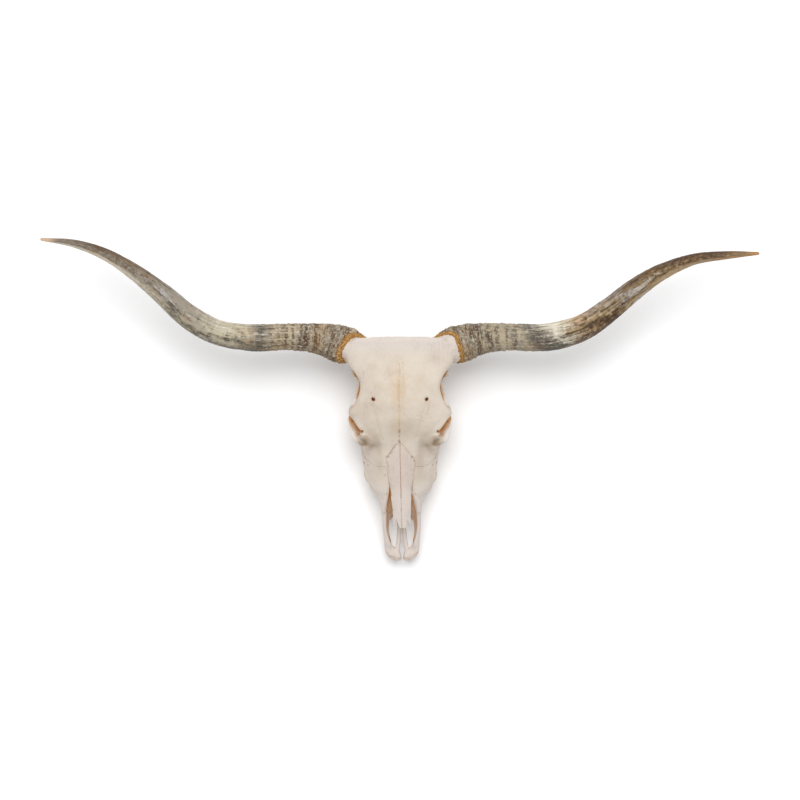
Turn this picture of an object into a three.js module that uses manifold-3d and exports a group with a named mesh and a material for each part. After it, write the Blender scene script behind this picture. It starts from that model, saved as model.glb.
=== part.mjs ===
// Longhorn steer skull, life size, lying on its cheek teeth and its two paracondylar processes.
// Millimetres. +X is the steer's own left, +Y runs from the muzzle back to the poll, +Z is up.
// The floor is z = 0, and the origin lies on it below the middle of the whole outline.
// The bones are parted at their sutures, and each horn sheath from the bone it sits on, by a thin gap.

import * as THREE from "three";
import { mergeVertices } from "three/addons/utils/BufferGeometryUtils.js";
import Module from "manifold-3d";

const wasm = await Module();
wasm.setup();

// ---- Driving dimensions ----
const MUZZLE_Y = -378; // front of the incisive bones
const SUTURE_GAP = 0.35; // clearance between two bones, and between bone and sheath
const MUZZLE_LEAN = 5.5; // how far the muzzle's tip leans to the steer's left
const LEAN_STARTS_Y = -110;
const FLOOR_Z = 0;
const SHORTEST_EDGE = 0.2; // shorter edges, left where surfaces cross, are drawn together

const BONE = { color: 0xdcd2c3, roughness: 0.62, metalness: 0 };
const NASAL_BONE = { color: 0xe0d7ca, roughness: 0.6, metalness: 0 };
const HORN = { color: 0x8a7c66, roughness: 0.5, metalness: 0 };

// The head is lofted through egg-shaped stations from the back to the front. Each row holds
// y, half width, top, height of the widest line, bottom, squareness above it, squareness below it.
const CORE = [
  // braincase, the pillar between the orbits, and the face
  [128, 56, 160, 108, 66, 3.0, 2.4],
  [112, 66, 172, 112, 52, 3.0, 2.4],
  [80, 68, 178, 112, 46, 2.8, 2.4],
  [40, 58, 180, 112, 46, 2.8, 2.2],
  [0, 52, 180, 116, 52, 2.8, 2.2],
  [-35, 50, 177, 112, 50, 2.8, 2.4],
  [-65, 62, 171, 100, 40, 2.4, 2.6],
  [-95, 79, 164, 90, 32, 2.0, 2.6],
  [-125, 86, 159, 80, 29, 1.8, 2.4],
  [-160, 81, 150, 72, 28, 1.65, 2.3],
  [-185, 77, 143, 68, 28, 1.65, 2.3],
  [-210, 68, 136, 68, 31, 1.75, 2.4],
  [-232, 52, 130, 70, 34, 2.0, 2.6],
  [-285, 42, 113, 68, 38, 2.2, 2.8],
];
const ROOF = [
  // the broad shield of the frontal bones, from the poll to the orbits' upper rims
  [144.5, 60, 178, 166, 146, 3.0, 3.0],
  [138, 99, 181, 160, 118, 4.0, 3.0],
  [125, 124, 182, 150, 100, 3.4, 2.6],
  [102, 127, 184, 152, 108, 3.4, 2.6],
  [80, 118, 186, 158, 124, 3.4, 2.6],
  [60, 102, 188, 164, 138, 4.0, 3.0],
  [38, 92, 190, 166, 146, 4.5, 3.0],
  [14, 94, 189, 164, 146, 4.0, 3.0],
  [-10, 104, 187, 160, 142, 3.2, 3.0],
  [-28, 114, 184, 156, 140, 2.8, 3.0],
  [-48, 104, 181, 156, 140, 2.6, 3.0],
  [-70, 88, 175.5, 148, 130, 2.2, 2.6],
  [-92, 70, 168, 138, 116, 2.0, 2.4],
  [-112, 46, 160, 130, 110, 2.0, 2.4],
];
const RING_SIDES = 18;
const RING_STEP = 24; // between two rings of a loft

// Bars follow a smooth line through rows of x, y, z and radius.
const ORBIT = { at: [95, -54, 131], radii: [42, 30, 29], turn: [0, 0.18, 0.5] }; // looks out, forward and up
const ORBIT_RIM = [
  [109, -18, 105, 7],
  [110.5, -18, 120, 6.5],
  [111, -24, 137, 7],
  [110, -32, 152, 7.5],
  [102, -42, 161, 7.5],
  [92, -58, 163, 7.5],
  [82, -76, 154, 8.5],
  [85, -88, 132, 10.5],
  [97, -90, 112, 11],
  [105, -74, 101, 10],
  [110, -52, 102, 8.5],
];
const ARCH = [
  // the zygomatic arch, from under the orbit to the ear
  [110, -42, 103, 8],
  [105, -14, 103, 7],
  [99, 10, 101, 7.5],
  [92, 35, 100, 7.5],
  [95, 57, 98, 9],
  [80, 76, 96, 15],
];
const TUBER = { at: [76, -170, 66], radii: [9, 18, 13] }; // facial tuber
const JAW_BACK = { at: [49, -58, 62], radii: [22, 34, 31] }; // the jaw's swelling behind the last molar
const ALVEOLAR = [
  // the ridge that holds the cheek teeth
  [50, -60, 34, 14],
  [53, -100, 33, 15],
  [52, -150, 33, 14],
  [45, -208, 35, 9],
];

// Cheek teeth from the last molar forwards: length along the row, width across it, lobes, and how far
// short of the floor the crown ends.
const TEETH = [
  { length: 30, width: 24, lobes: 2, shorten: 0 },
  { length: 29, width: 25, lobes: 2, shorten: 0 },
  { length: 25, width: 24, lobes: 2, shorten: 0 },
  { length: 18, width: 22, lobes: 1, shorten: 0 },
  { length: 17, width: 19, lobes: 1, shorten: 1.5 },
  { length: 15, width: 15, lobes: 1, shorten: 3 },
];
const TOOTH_ROW = { rear: [50, -56], front: [43, -204], overlap: 0.8, neckZ: 30, bow: 5, roundness: 0.65 };

// Back and base of the head.
const CONDYLE = { at: [31, 120, 62], radii: [17, 18, 23], turn: [0.5, 0, -0.3] };
const PARACONDYLAR = [
  [58, 104, 78, 13],
  [57, 103, 48, 11],
  [53, 98, 20, 8],
  [51, 95, -3, 6],
];
const FORAMEN = { from: [0, 160, 74], to: [0, 70, 92], radius: 18 };
const BULLA = { at: [42, 62, 46], radii: [12, 18, 16] };
const EAR = { from: [70, 74, 88], drum: [83, 76, 89.5], to: [95, 78, 91], radius: 11, bore: 5.5 };
const BASE_KNOB = { at: [15, 52, 45], radii: [11, 14, 9] };
const PTERYGOID = { at: [25, -28, 46], radii: [5, 48, 20] }; // the thin wall at each side of the throat

// Nasal passage, open at the front, behind the palate and through the palate's front slits.
const PASSAGE = [
  [-120, 20, 122, 96, 72, 2, 2],
  [-155, 29, 126, 92, 62, 2.2, 2.2],
  [-190, 36, 124, 88, 54, 2.4, 2.4],
  [-232, 37, 118, 82, 50, 2.6, 2.6],
  [-305, 37, 110, 78, 47, 3, 3],
];
const INNER_NOSTRIL = { at: [0, -58, 52], radii: [17, 34, 26] };
const PALATE_VAULT = { at: [0, -120, 18], radii: [36, 130, 17] };
const NOTCH = [
  // three points of the plane that ends the upper jaws in front
  [0, -205, 136],
  [0, -282, 40],
  [1, -282, 40],
];
const JAW_SUTURE = [
  // three points of the plane that parts the upper jaw from the bones behind it
  [30, -158, 150],
  [92, -118, 84],
  [50, -40, 24],
];

// Nasal bones: y, half width, height of the middle line, drop at the outer edge.
const NASAL = [
  [-101, 3, 166, 0.5],
  [-114, 13, 163, 2],
  [-133, 29, 158, 7],
  [-146, 33, 155, 9],
  [-164, 30, 150.5, 9],
  [-193, 27, 143, 9.5],
  [-225, 23.5, 134, 9],
  [-258, 20, 125, 8.5],
  [-275, 19, 120, 8.2],
];
const NASAL_THICK = 4.5;
const NASAL_STRIPS = 4;
const NASAL_STEP = 24;
const NASAL_SLOPE = 0.28; // fall of the prongs towards the muzzle
const NASAL_POINTS = [
  // the two prongs that end each nasal bone: x, half width, how far forward
  { x: 4.5, half: 4.2, reach: -296 },
  { x: 15.5, half: 2.4, reach: -290 },
];

// Incisive bones: a limb along the side, a flat plate in front and a rod back along the palate.
const LIMB = [
  [42, -210, 114, 4],
  [43, -230, 97, 7],
  [38.5, -255, 80, 8],
  [35.5, -276, 69, 9.5],
  [34.5, -302, 56, 9.5],
  [30.5, -332, 46, 8],
];
const PLATE = [
  [30, -330, 46, 8.5],
  [28, -348, 42, 12],
  [20, -360, 39, 15],
  [11, -366, 37, 12],
];
const PLATE_LEVELS = [28, 48];
const ROD = [
  [12, -356, 37, 7],
  [9.7, -344, 38, 4.6],
  [6, -322, 40, 4.2],
  [4.5, -300, 43, 4],
  [4.4, -266, 47, 3.4],
];

// Horn sheaths: how far out from the middle, y, z and radius along the middle of each.
const SHEATH_ROOT = [
  [74, 121, 131, 21],
  [90, 122, 130, 30],
  [110, 124.5, 129, 40],
  [134, 127.5, 129.5, 43.5],
  [160, 135, 130.5, 41],
  [187, 141, 132, 35.5],
];
const HORNS = {
  left: [
    ...SHEATH_ROOT,
    [240, 145, 135, 31.5],
    [345, 145, 144, 32],
    [411, 162.5, 150, 30.5],
    [476, 204.5, 157, 27.5],
    [536, 252.5, 163, 24],
    [600, 293.5, 169, 18.7],
    [668, 321, 174, 13.2],
    [745, 331, 178, 9.5],
    [818, 335, 180, 3.6],
  ],
  right: [
    ...SHEATH_ROOT,
    [240, 145, 135, 31.5],
    [350, 144, 144, 31],
    [417, 154.5, 150, 29.2],
    [484, 191, 157, 27.7],
    [546, 245, 163, 23.8],
    [606, 291.5, 169, 18.4],
    [672, 332, 174, 14],
    [745, 357.5, 179, 9.3],
    [819, 367, 181, 3.4],
  ],
};
const HORN_SIDES = 12;
const HORN_RINGS = 22;

// ---- Making closed solids ----

function solidFrom(geometry) {
  const bare = geometry.clone();
  for (const name of Object.keys(bare.attributes)) if (name !== "position") bare.deleteAttribute(name);
  const merged = mergeVertices(bare, 1e-4);
  return new wasm.Manifold(
    new wasm.Mesh({
      numProp: 3,
      vertProperties: new Float32Array(merged.attributes.position.array),
      triVerts: new Uint32Array(merged.index.array),
    }),
  );
}

// A closed skin over rings of equal length, with a fan at each end.
function skin(rings) {
  const sides = rings[0].length;
  const points = rings.flat();
  const indices = [];
  for (let r = 0; r + 1 < rings.length; r++)
    for (let k = 0; k < sides; k++) {
      const a = r * sides + k;
      const b = r * sides + ((k + 1) % sides);
      indices.push(a, b, b + sides, a, b + sides, a + sides);
    }
  const caps = [
    [0, true],
    [rings.length - 1, false],
  ];
  for (const [r, first] of caps) {
    const centre = points.length;
    points.push(rings[r].reduce((sum, p) => sum.add(p), new THREE.Vector3()).divideScalar(sides));
    for (let k = 0; k < sides; k++) {
      const a = r * sides + k;
      const b = r * sides + ((k + 1) % sides);
      indices.push(...(first ? [centre, b, a] : [centre, a, b]));
    }
  }
  return new THREE.BufferGeometry().setFromPoints(points).setIndex(indices);
}

// A row of a station table at y, on a smooth curve through the rows.
function station(table, y) {
  let i = 0;
  while (i < table.length - 2 && y < table[i + 1][0]) i++;
  const [p0, p1, p2, p3] = [i - 1, i, i + 1, i + 2].map(
    (k) => table[Math.min(Math.max(k, 0), table.length - 1)],
  );
  const t = (y - p1[0]) / (p2[0] - p1[0]);
  const ease = t * t * (3 - 2 * t);
  return p1.map((value, c) => {
    const m1 = ((p2[c] - p0[c]) / (p2[0] - p0[0])) * (p2[0] - p1[0]);
    const m2 = ((p3[c] - p1[c]) / (p3[0] - p1[0])) * (p2[0] - p1[0]);
    return value + (p2[c] - value) * ease + t * (1 - t) * ((1 - t) * m1 - t * m2);
  });
}

// The first row's y, then even steps from the second row's y to the last one's.
function levels(table, step) {
  const [first, from] = [table[0][0], table[1][0]];
  const to = table[table.length - 1][0];
  const count = Math.max(2, Math.round((from - to) / step));
  return [first, ...Array.from({ length: count + 1 }, (_, k) => from + ((to - from) * k) / count)];
}

// One egg-shaped ring of a head section, grown by a clearance.
function headRing([y, half, top, waist, bottom, upper, lower], grow) {
  return Array.from({ length: RING_SIDES }, (_, k) => {
    const angle = (2 * Math.PI * (k + 0.5)) / RING_SIDES;
    const [c, s] = [Math.cos(angle), Math.sin(angle)];
    const power = 2 / (s > 0 ? upper : lower);
    const reach = s > 0 ? top - waist : waist - bottom;
    return new THREE.Vector3(
      Math.sign(c) * Math.abs(c) ** power * (half + grow),
      y,
      waist + Math.sign(s) * Math.abs(s) ** power * (reach + grow),
    );
  });
}

function headLoft(table, grow = 0) {
  const rings = levels(table, RING_STEP).map((y) => headRing(station(table, y), grow));
  return solidFrom(skin(rings));
}

function egg({ at, radii, turn = [0, 0, 0] }, detail = [10, 7]) {
  const ball = new THREE.SphereGeometry(1, ...detail).scale(...radii);
  const place = new THREE.Matrix4().makeRotationFromEuler(new THREE.Euler(...turn));
  return solidFrom(ball.applyMatrix4(place.setPosition(...at)));
}

// A round bar along a smooth line through points that each carry a radius, with domed ends.
function bar(points, { sides = 8, rings = points.length * 2, grow = 0 } = {}) {
  const line = new THREE.CatmullRomCurve3(points.map(([x, y, z]) => new THREE.Vector3(x, y, z)));
  const girth = new THREE.SplineCurve(points.map((p, k) => new THREE.Vector2(k, p[3] + grow)));
  const up = new THREE.Vector3(0, 0, 1);
  const places = Array.from({ length: rings + 1 }, (_, k) => {
    const along = line.getTangent(k / rings);
    const across = new THREE.Vector3().crossVectors(along, up).normalize();
    up.crossVectors(across, along).normalize();
    const [at, radius] = [line.getPoint(k / rings), girth.getPoint(k / rings).y];
    return { at, radius, along, across, up: up.clone() };
  });
  const ring = ({ at, radius, along, across, up }, size = 1, ahead = 0) =>
    Array.from({ length: sides }, (_, s) => {
      const angle = (2 * Math.PI * s) / sides;
      return at
        .clone()
        .addScaledVector(along, ahead * radius)
        .addScaledVector(across, size * radius * Math.cos(angle))
        .addScaledVector(up, -size * radius * Math.sin(angle));
    });
  const body = places.map((place) => ring(place));
  return solidFrom(skin([ring(places[0], 0.6, -0.7), ...body, ring(places[rings], 0.6, 0.7)]));
}

// A ring of bar, made of two halves that share their end points.
function hoop(points, options) {
  const half = Math.ceil(points.length / 2);
  return bar(points.slice(0, half + 1), options).add(bar([...points.slice(half), points[0]], options));
}

function cylinder(from, to, radius, sides = 14) {
  const [a, b] = [new THREE.Vector3(...from), new THREE.Vector3(...to)];
  const along = b.clone().sub(a);
  const g = new THREE.CylinderGeometry(radius, radius, along.length(), sides);
  const turn = new THREE.Quaternion().setFromUnitVectors(new THREE.Vector3(0, 1, 0), along.normalize());
  const middle = a.add(b).multiplyScalar(0.5);
  return solidFrom(g.applyMatrix4(new THREE.Matrix4().makeRotationFromQuaternion(turn).setPosition(middle)));
}

function block([x0, y0, z0], [x1, y1, z1]) {
  const g = new THREE.BoxGeometry(x1 - x0, y1 - y0, z1 - z0);
  return solidFrom(g.translate((x0 + x1) / 2, (y0 + y1) / 2, (z0 + z1) / 2));
}

const mirrored = (solid) => solid.mirror([1, 0, 0]);
const union = (solids) => solids.reduce((all, s) => all.add(s));
const bothSides = (solid) => [solid, mirrored(solid)];

// ---- Sub-parts ----

function tooth({ length, width, lobes, shorten }) {
  const corners = lobes === 2 ? 10 : 7;
  const squared = (value) => Math.sign(value) * Math.abs(value) ** TOOTH_ROW.roundness;
  const outline = new THREE.Shape(
    Array.from({ length: corners }, (_, k) => {
      const angle = (2 * Math.PI * k) / corners;
      const waist = lobes === 2 ? 0.9 + 0.1 * Math.cos(2 * angle) ** 2 : 1;
      const across = squared(Math.cos(angle)) * (width / 2) * waist;
      return new THREE.Vector2(across, squared(Math.sin(angle)) * (length / 2));
    }),
  );
  const depth = TOOTH_ROW.neckZ - shorten;
  return new THREE.ExtrudeGeometry(outline, { depth, bevelEnabled: false }).translate(0, 0, shorten);
}

function toothRow() {
  const [rear, front] = [TOOTH_ROW.rear, TOOTH_ROW.front].map(([x, y]) => new THREE.Vector2(x, y));
  const total = TEETH.reduce((sum, t) => sum + t.length, 0);
  const fit = rear.distanceTo(front) / total;
  let before = 0;
  return TEETH.map((t) => {
    const share = (before + t.length / 2) / total;
    before += t.length;
    const at = rear.clone().lerp(front, share);
    const fitted = tooth({ ...t, length: t.length * fit + TOOTH_ROW.overlap });
    return solidFrom(fitted.translate(at.x + TOOTH_ROW.bow * Math.sin(Math.PI * share), at.y, FLOOR_Z));
  });
}

// What a bone at +X, grown by a clearance, must not reach past: the middle suture.
function beyondMiddle(grow) {
  return block([-60, MUZZLE_Y - 20, 0], [SUTURE_GAP / 2 - grow, 0, 250]);
}

function nasalPlate(grow = 0) {
  // the bone at +X, of thin arched strips from the back to the front
  const strip = ([y, half, mid, drop]) => {
    const inner = SUTURE_GAP / 2 - grow;
    const top = Array.from({ length: NASAL_STRIPS + 1 }, (_, k) => {
      const x = inner + ((half + grow - inner) * k) / NASAL_STRIPS;
      return new THREE.Vector3(x, y, mid + grow - drop * (Math.max(0, x) / half) ** 2);
    });
    const under = top.map((p) => new THREE.Vector3(p.x, y, p.z - NASAL_THICK - 2 * grow));
    return [...under, ...top.reverse()];
  };
  const rings = levels(NASAL, NASAL_STEP).map((y) => strip(station(NASAL, y)));
  const end = NASAL[NASAL.length - 1];
  const [endY, endHalf, endZ, endDrop] = NASAL[NASAL.length - 1];
  const prongs = NASAL_POINTS.map(({ x, half, reach }) => {
    const z = endZ - endDrop * (x / endHalf) ** 2 - NASAL_THICK / 2;
    const height = (y) => z + NASAL_SLOPE * (y - endY);
    const rows = [
      [x, endY + 6, height(endY + 6), half],
      [x, endY, height(endY), half],
      [x, reach + 2, height(reach + 2), half * 0.45],
    ];
    return bar(rows, { sides: 5, rings: 2, grow });
  });
  return union([solidFrom(skin(rings)), ...prongs]).subtract(beyondMiddle(grow));
}

function incisive(grow = 0) {
  const [low, high] = PLATE_LEVELS;
  const flat = block([0, MUZZLE_Y - 20, low - grow], [80, -200, high + grow]);
  const plate = bar(PLATE, { sides: 8, rings: 4, grow }).intersect(flat);
  const limb = bar(LIMB, { sides: 7, rings: 6, grow });
  const rod = bar(ROD, { sides: 5, rings: 5, grow });
  return union([limb, plate, rod]).subtract(beyondMiddle(grow));
}

function skullBones() {
  const sides = [
    hoop(ORBIT_RIM, { sides: 6, rings: 6 }),
    bar(ARCH, { sides: 6, rings: 8 }),
    egg(TUBER, [7, 5]),
    bar(ALVEOLAR, { sides: 7, rings: 5 }),
    egg(CONDYLE, [9, 6]),
    bar(PARACONDYLAR, { sides: 6, rings: 5 }),
    egg(BULLA, [8, 6]),
    cylinder(EAR.from, EAR.to, EAR.radius, 8),
    egg(BASE_KNOB, [7, 5]),
    egg(PTERYGOID, [8, 6]),
    egg(JAW_BACK, [10, 6]),
    ...toothRow(),
  ];
  const whole = union([headLoft(CORE), headLoft(ROOF), ...sides.flatMap(bothSides)]);
  const hollows = [
    headLoft(PASSAGE),
    egg(INNER_NOSTRIL),
    egg(PALATE_VAULT, [12, 8]),
    aheadOfPlane(NOTCH),
    cylinder(FORAMEN.from, FORAMEN.to, FORAMEN.radius),
    ...bothSides(egg(ORBIT, [12, 8])),
    ...bothSides(cylinder(EAR.drum, EAR.to, EAR.bore, 6)),
    ...bothSides(nasalPlate(SUTURE_GAP)),
    ...bothSides(incisive(SUTURE_GAP)),
  ];
  const above = block([-200, -420, FLOOR_Z], [200, 200, 300]);
  return hollows.reduce((bone, hollow) => bone.subtract(hollow), whole).intersect(above);
}

// Everything on the muzzle's side of a slanting plane, further along its normal by a shift.
function aheadOfPlane(points, shift = 0) {
  const plane = new THREE.Plane().setFromCoplanarPoints(...points.map((p) => new THREE.Vector3(...p)));
  if (plane.normal.y > 0) plane.negate();
  const wide = 800;
  const g = new THREE.BoxGeometry(wide, wide, wide).translate(0, 0, wide / 2);
  const turn = new THREE.Quaternion().setFromUnitVectors(new THREE.Vector3(0, 0, 1), plane.normal);
  const at = plane.normal.clone().multiplyScalar(shift - plane.constant);
  return solidFrom(g.applyMatrix4(new THREE.Matrix4().makeRotationFromQuaternion(turn).setPosition(at)));
}

function jawRegion(side, shift) {
  const points = JAW_SUTURE.map(([x, y, z]) => [side * x, y, z]);
  const span = side > 0 ? [shift / 2, 300] : [-300, -shift / 2];
  return aheadOfPlane(points, shift).intersect(block([span[0], -500, -50], [span[1], 100, 300]));
}

function hornSheath(stations, side, bones) {
  const path = stations.map(([out, y, z, r]) => [side * out, y, z, r]);
  return bar(path, { sides: HORN_SIDES, rings: HORN_RINGS }).subtract(bones);
}

// ---- Assembly ----

function leanMuzzle(x, y) {
  return x + MUZZLE_LEAN * Math.max(0, (LEAN_STARTS_Y - y) / (LEAN_STARTS_Y - MUZZLE_Y));
}

function largest(solid) {
  return solid.decompose().reduce((a, b) => (b.volume() > a.volume() ? b : a));
}

// The skin of a solid, with the very short edges that cuts leave drawn together to one point.
function cleanSkin(solid) {
  const { vertProperties, numProp, numVert, triVerts } = solid.getMesh();
  const points = Array.from({ length: numVert }, (_, i) => {
    const [x, y, z] = vertProperties.subarray(i * numProp, i * numProp + 3);
    return new THREE.Vector3(leanMuzzle(x, y), y, z);
  });
  const home = points.map((_, i) => i);
  const find = (i) => (home[i] === i ? i : find(home[i]));
  for (let t = 0; t < triVerts.length; t += 3)
    for (let k = 0; k < 3; k++) {
      const [a, b] = [find(triVerts[t + k]), find(triVerts[t + ((k + 1) % 3)])];
      if (a !== b && points[a].distanceTo(points[b]) < SHORTEST_EDGE) home[b] = a;
    }
  const kept = new Map(); // two triangles left back to back on the same corners cancel out
  for (let t = 0; t < triVerts.length; t += 3) {
    const corners = [0, 1, 2].map((k) => find(triVerts[t + k]));
    const key = corners.toSorted((a, b) => a - b).join();
    if (new Set(corners).size < 3 || kept.delete(key)) continue;
    kept.set(key, corners);
  }
  return new THREE.BufferGeometry().setFromPoints(points).setIndex([...kept.values()].flat());
}

function meshOf(name, solid, look) {
  const g = cleanSkin(largest(solid));
  g.computeVertexNormals();
  const mesh = new THREE.Mesh(g, new THREE.MeshStandardMaterial(look));
  mesh.name = name;
  return mesh;
}

const bones = skullBones();
const grownBones = union([headLoft(CORE, SUTURE_GAP), headLoft(ROOF, SUTURE_GAP)]);
const jawCut = union([jawRegion(1, 0), jawRegion(-1, 0)]);

const skull = new THREE.Group();
skull.add(meshOf("cranium", bones.subtract(jawCut), BONE));
for (const [word, side] of Object.entries({ left: 1, right: -1 })) {
  const place = (solid) => (side > 0 ? solid : mirrored(solid));
  skull.add(meshOf(`upper_jaw_${word}`, bones.intersect(jawRegion(side, SUTURE_GAP)), BONE));
  skull.add(meshOf(`nasal_bone_${word}`, place(nasalPlate()), NASAL_BONE));
  skull.add(meshOf(`incisive_bone_${word}`, place(incisive()), NASAL_BONE));
  skull.add(meshOf(`horn_${word}`, hornSheath(HORNS[word], side, grownBones), HORN));
}

export default skull;
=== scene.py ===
import math

import bpy
import numpy as np
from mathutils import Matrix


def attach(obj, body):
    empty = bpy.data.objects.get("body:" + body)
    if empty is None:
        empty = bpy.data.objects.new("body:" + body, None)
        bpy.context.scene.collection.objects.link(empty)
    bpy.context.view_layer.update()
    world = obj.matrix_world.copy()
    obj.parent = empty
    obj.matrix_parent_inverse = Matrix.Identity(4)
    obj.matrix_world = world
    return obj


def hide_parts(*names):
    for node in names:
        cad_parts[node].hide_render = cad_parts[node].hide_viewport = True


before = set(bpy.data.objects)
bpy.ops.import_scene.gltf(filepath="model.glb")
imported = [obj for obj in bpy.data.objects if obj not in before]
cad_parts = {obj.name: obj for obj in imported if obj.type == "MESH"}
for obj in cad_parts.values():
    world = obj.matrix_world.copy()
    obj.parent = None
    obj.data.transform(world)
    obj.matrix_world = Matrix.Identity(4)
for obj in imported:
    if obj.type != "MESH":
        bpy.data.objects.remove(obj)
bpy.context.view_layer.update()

import openvdb

MM = 0.001
SIDES = (("left", 1), ("right", -1))  # the steer's own sides, and the sign of X there

# ---------------------------------------------------------------- camera, light and floor
CAMERA_HEIGHT = 8.0
SHARP_HEIGHT = 0.13  # the height at which one picture step is PIXEL wide
PIXEL = 0.0023
SENSOR = 36.0
PICTURE_WIDTH = 800

camera_data = bpy.data.cameras.new("camera")
camera_data.sensor_width = SENSOR
camera_data.lens = SENSOR * (CAMERA_HEIGHT - SHARP_HEIGHT) / (PICTURE_WIDTH * PIXEL)
camera_data.clip_end = 100
camera = bpy.data.objects.new("camera", camera_data)
camera.location = (0, 0, CAMERA_HEIGHT)
bpy.context.scene.collection.objects.link(camera)
bpy.context.scene.camera = camera

SUN_TURN = (math.radians(-22), 0, 0)  # the light comes from behind the poll
SUN_SPREAD = math.radians(37)
SUN_POWER = 1.95
SKY_POWER = 0.66
FLOOR_REACH = 20
FLOOR_COLOUR = (0.93, 0.93, 0.935, 1)
LIT = 1.14  # how bright a white surface is under these lamps; colours below are as they look there


def studio():
    """A soft key light from behind the poll, an even white sky and a pale floor."""
    sun_data = bpy.data.lights.new("key", "SUN")
    sun_data.energy = SUN_POWER
    sun_data.angle = SUN_SPREAD
    sun = bpy.data.objects.new("key", sun_data)
    sun.rotation_euler = SUN_TURN
    bpy.context.scene.collection.objects.link(sun)
    sky = bpy.data.worlds.new("studio sky")
    sky.use_nodes = True
    background = sky.node_tree.nodes["Background"]
    background.inputs["Color"].default_value = (1, 1, 1, 1)
    background.inputs["Strength"].default_value = SKY_POWER
    bpy.context.scene.world = sky
    bpy.context.scene.view_settings.view_transform = "Standard"
    mesh = bpy.data.meshes.new("floor")
    reach = FLOOR_REACH
    corners = [(-reach, -reach, 0), (reach, -reach, 0), (reach, reach, 0), (-reach, reach, 0)]
    mesh.from_pydata(corners, [], [(0, 1, 2, 3)])
    floor = bpy.data.objects.new("floor", mesh)
    bpy.context.scene.collection.objects.link(floor)
    paint = bpy.data.materials.new("pale floor")
    paint.use_nodes = True
    shader = paint.node_tree.nodes["Principled BSDF"]
    shader.inputs["Base Color"].default_value = FLOOR_COLOUR
    shader.inputs["Roughness"].default_value = 0.9
    shader.inputs["Specular IOR Level"].default_value = 0.1
    mesh.materials.append(paint)


# ---------------------------------------------------------------- nodes, for finishes and for shapes
class Flow:
    """An output of a node that sums and products can be written on."""

    def __init__(self, tree, socket):
        self.tree = tree
        self.socket = socket

    def math(self, kind, other=None):
        """The result of one sum on this value."""
        node = self.tree.nodes.new("ShaderNodeMath")
        node.operation = kind
        plug(self.tree, node.inputs[0], self)
        if other is not None:
            plug(self.tree, node.inputs[1], other)
        return Flow(self.tree, node.outputs[0])

    def __add__(self, other):
        return self.math("ADD", other)

    def __sub__(self, other):
        return self.math("SUBTRACT", other)

    def __mul__(self, other):
        return self.math("MULTIPLY", other)

    def __truediv__(self, other):
        return self.math("DIVIDE", other)

    __radd__ = __add__
    __rmul__ = __mul__

    def __neg__(self):
        return self * -1.0

    def inverse(self):
        """One less the value."""
        return (-self) + 1.0

    def step(self, low, high):
        """0 below low and 1 above high, with a smooth rise between."""
        node = self.tree.nodes.new("ShaderNodeMapRange")
        node.interpolation_type = "SMOOTHSTEP"
        plug(self.tree, node.inputs["Value"], self)
        plug(self.tree, node.inputs["From Min"], low)
        plug(self.tree, node.inputs["From Max"], high)
        return Flow(self.tree, node.outputs["Result"])


def plug(tree, socket, value):
    """Links a flow to an input, or sets a plain value on it."""
    if isinstance(value, Flow):
        tree.links.new(value.socket, socket)
    elif value is not None:
        socket.default_value = value


def put(tree, kind, inputs=(), output=0, **settings):
    """Adds a node and gives back one of its outputs."""
    node = tree.nodes.new(kind)
    for name, value in settings.items():
        setattr(node, name, value)
    for name, value in dict(inputs).items():
        plug(tree, node.inputs[name], value)
    return Flow(tree, node.outputs[output])


def noise(tree, place, scale, detail=3.0, rough=0.55):
    """Clouded values around 0.5."""
    inputs = {"Vector": place, "Scale": scale, "Detail": detail, "Roughness": rough}
    return put(tree, "ShaderNodeTexNoise", inputs)


def stretched(tree, place, scale):
    """A place with each direction scaled by its own factor."""
    return put(tree, "ShaderNodeVectorMath", {0: place, 1: scale}, operation="MULTIPLY")


def colour(code):
    """A linear colour from a hex code."""
    parts = [int(code[k:k + 2], 16) / 255 for k in (0, 2, 4)]
    linear = [p / 12.92 if p <= 0.04045 else ((p + 0.055) / 1.055) ** 2.4 for p in parts]
    return (*[p / LIT for p in linear], 1.0)


def blend(tree, share, under, over):
    """One colour over another, by share."""
    node = tree.nodes.new("ShaderNodeMix")
    node.data_type = "RGBA"
    plug(tree, node.inputs[0], share)
    plug(tree, node.inputs[6], under)
    plug(tree, node.inputs[7], over)
    return Flow(tree, node.outputs[2])


def ramp(tree, share, stops):
    """Colours along a share, and their strength as a second output."""
    node = tree.nodes.new("ShaderNodeValToRGB")
    elements = node.color_ramp.elements
    while len(elements) > 1:
        elements.remove(elements[-1])
    for k, (place, code, *strength) in enumerate(stops):
        stop = elements[0] if k == 0 else elements.new(place)
        stop.position = place
        stop.color = (*colour(code)[:3], strength[0] if strength else 1.0)
    plug(tree, node.inputs[0], share)
    return Flow(tree, node.outputs[0]), Flow(tree, node.outputs[1])


def attribute(tree, name, output="Fac"):
    """A value that the mesh carries."""
    return put(tree, "ShaderNodeAttribute", attribute_name=name, output=output)


def new_finish(name):
    """An empty material, its tree and its shader."""
    finish = bpy.data.materials.new(name)
    finish.use_nodes = True
    tree = finish.node_tree
    return finish, tree, tree.nodes["Principled BSDF"]


def relief(tree, shader, height, depth):
    """A bump of the given depth in metres."""
    bump = put(tree, "ShaderNodeBump", {"Height": height, "Distance": depth, "Strength": 1.0})
    plug(tree, shader.inputs["Normal"], bump)


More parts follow.
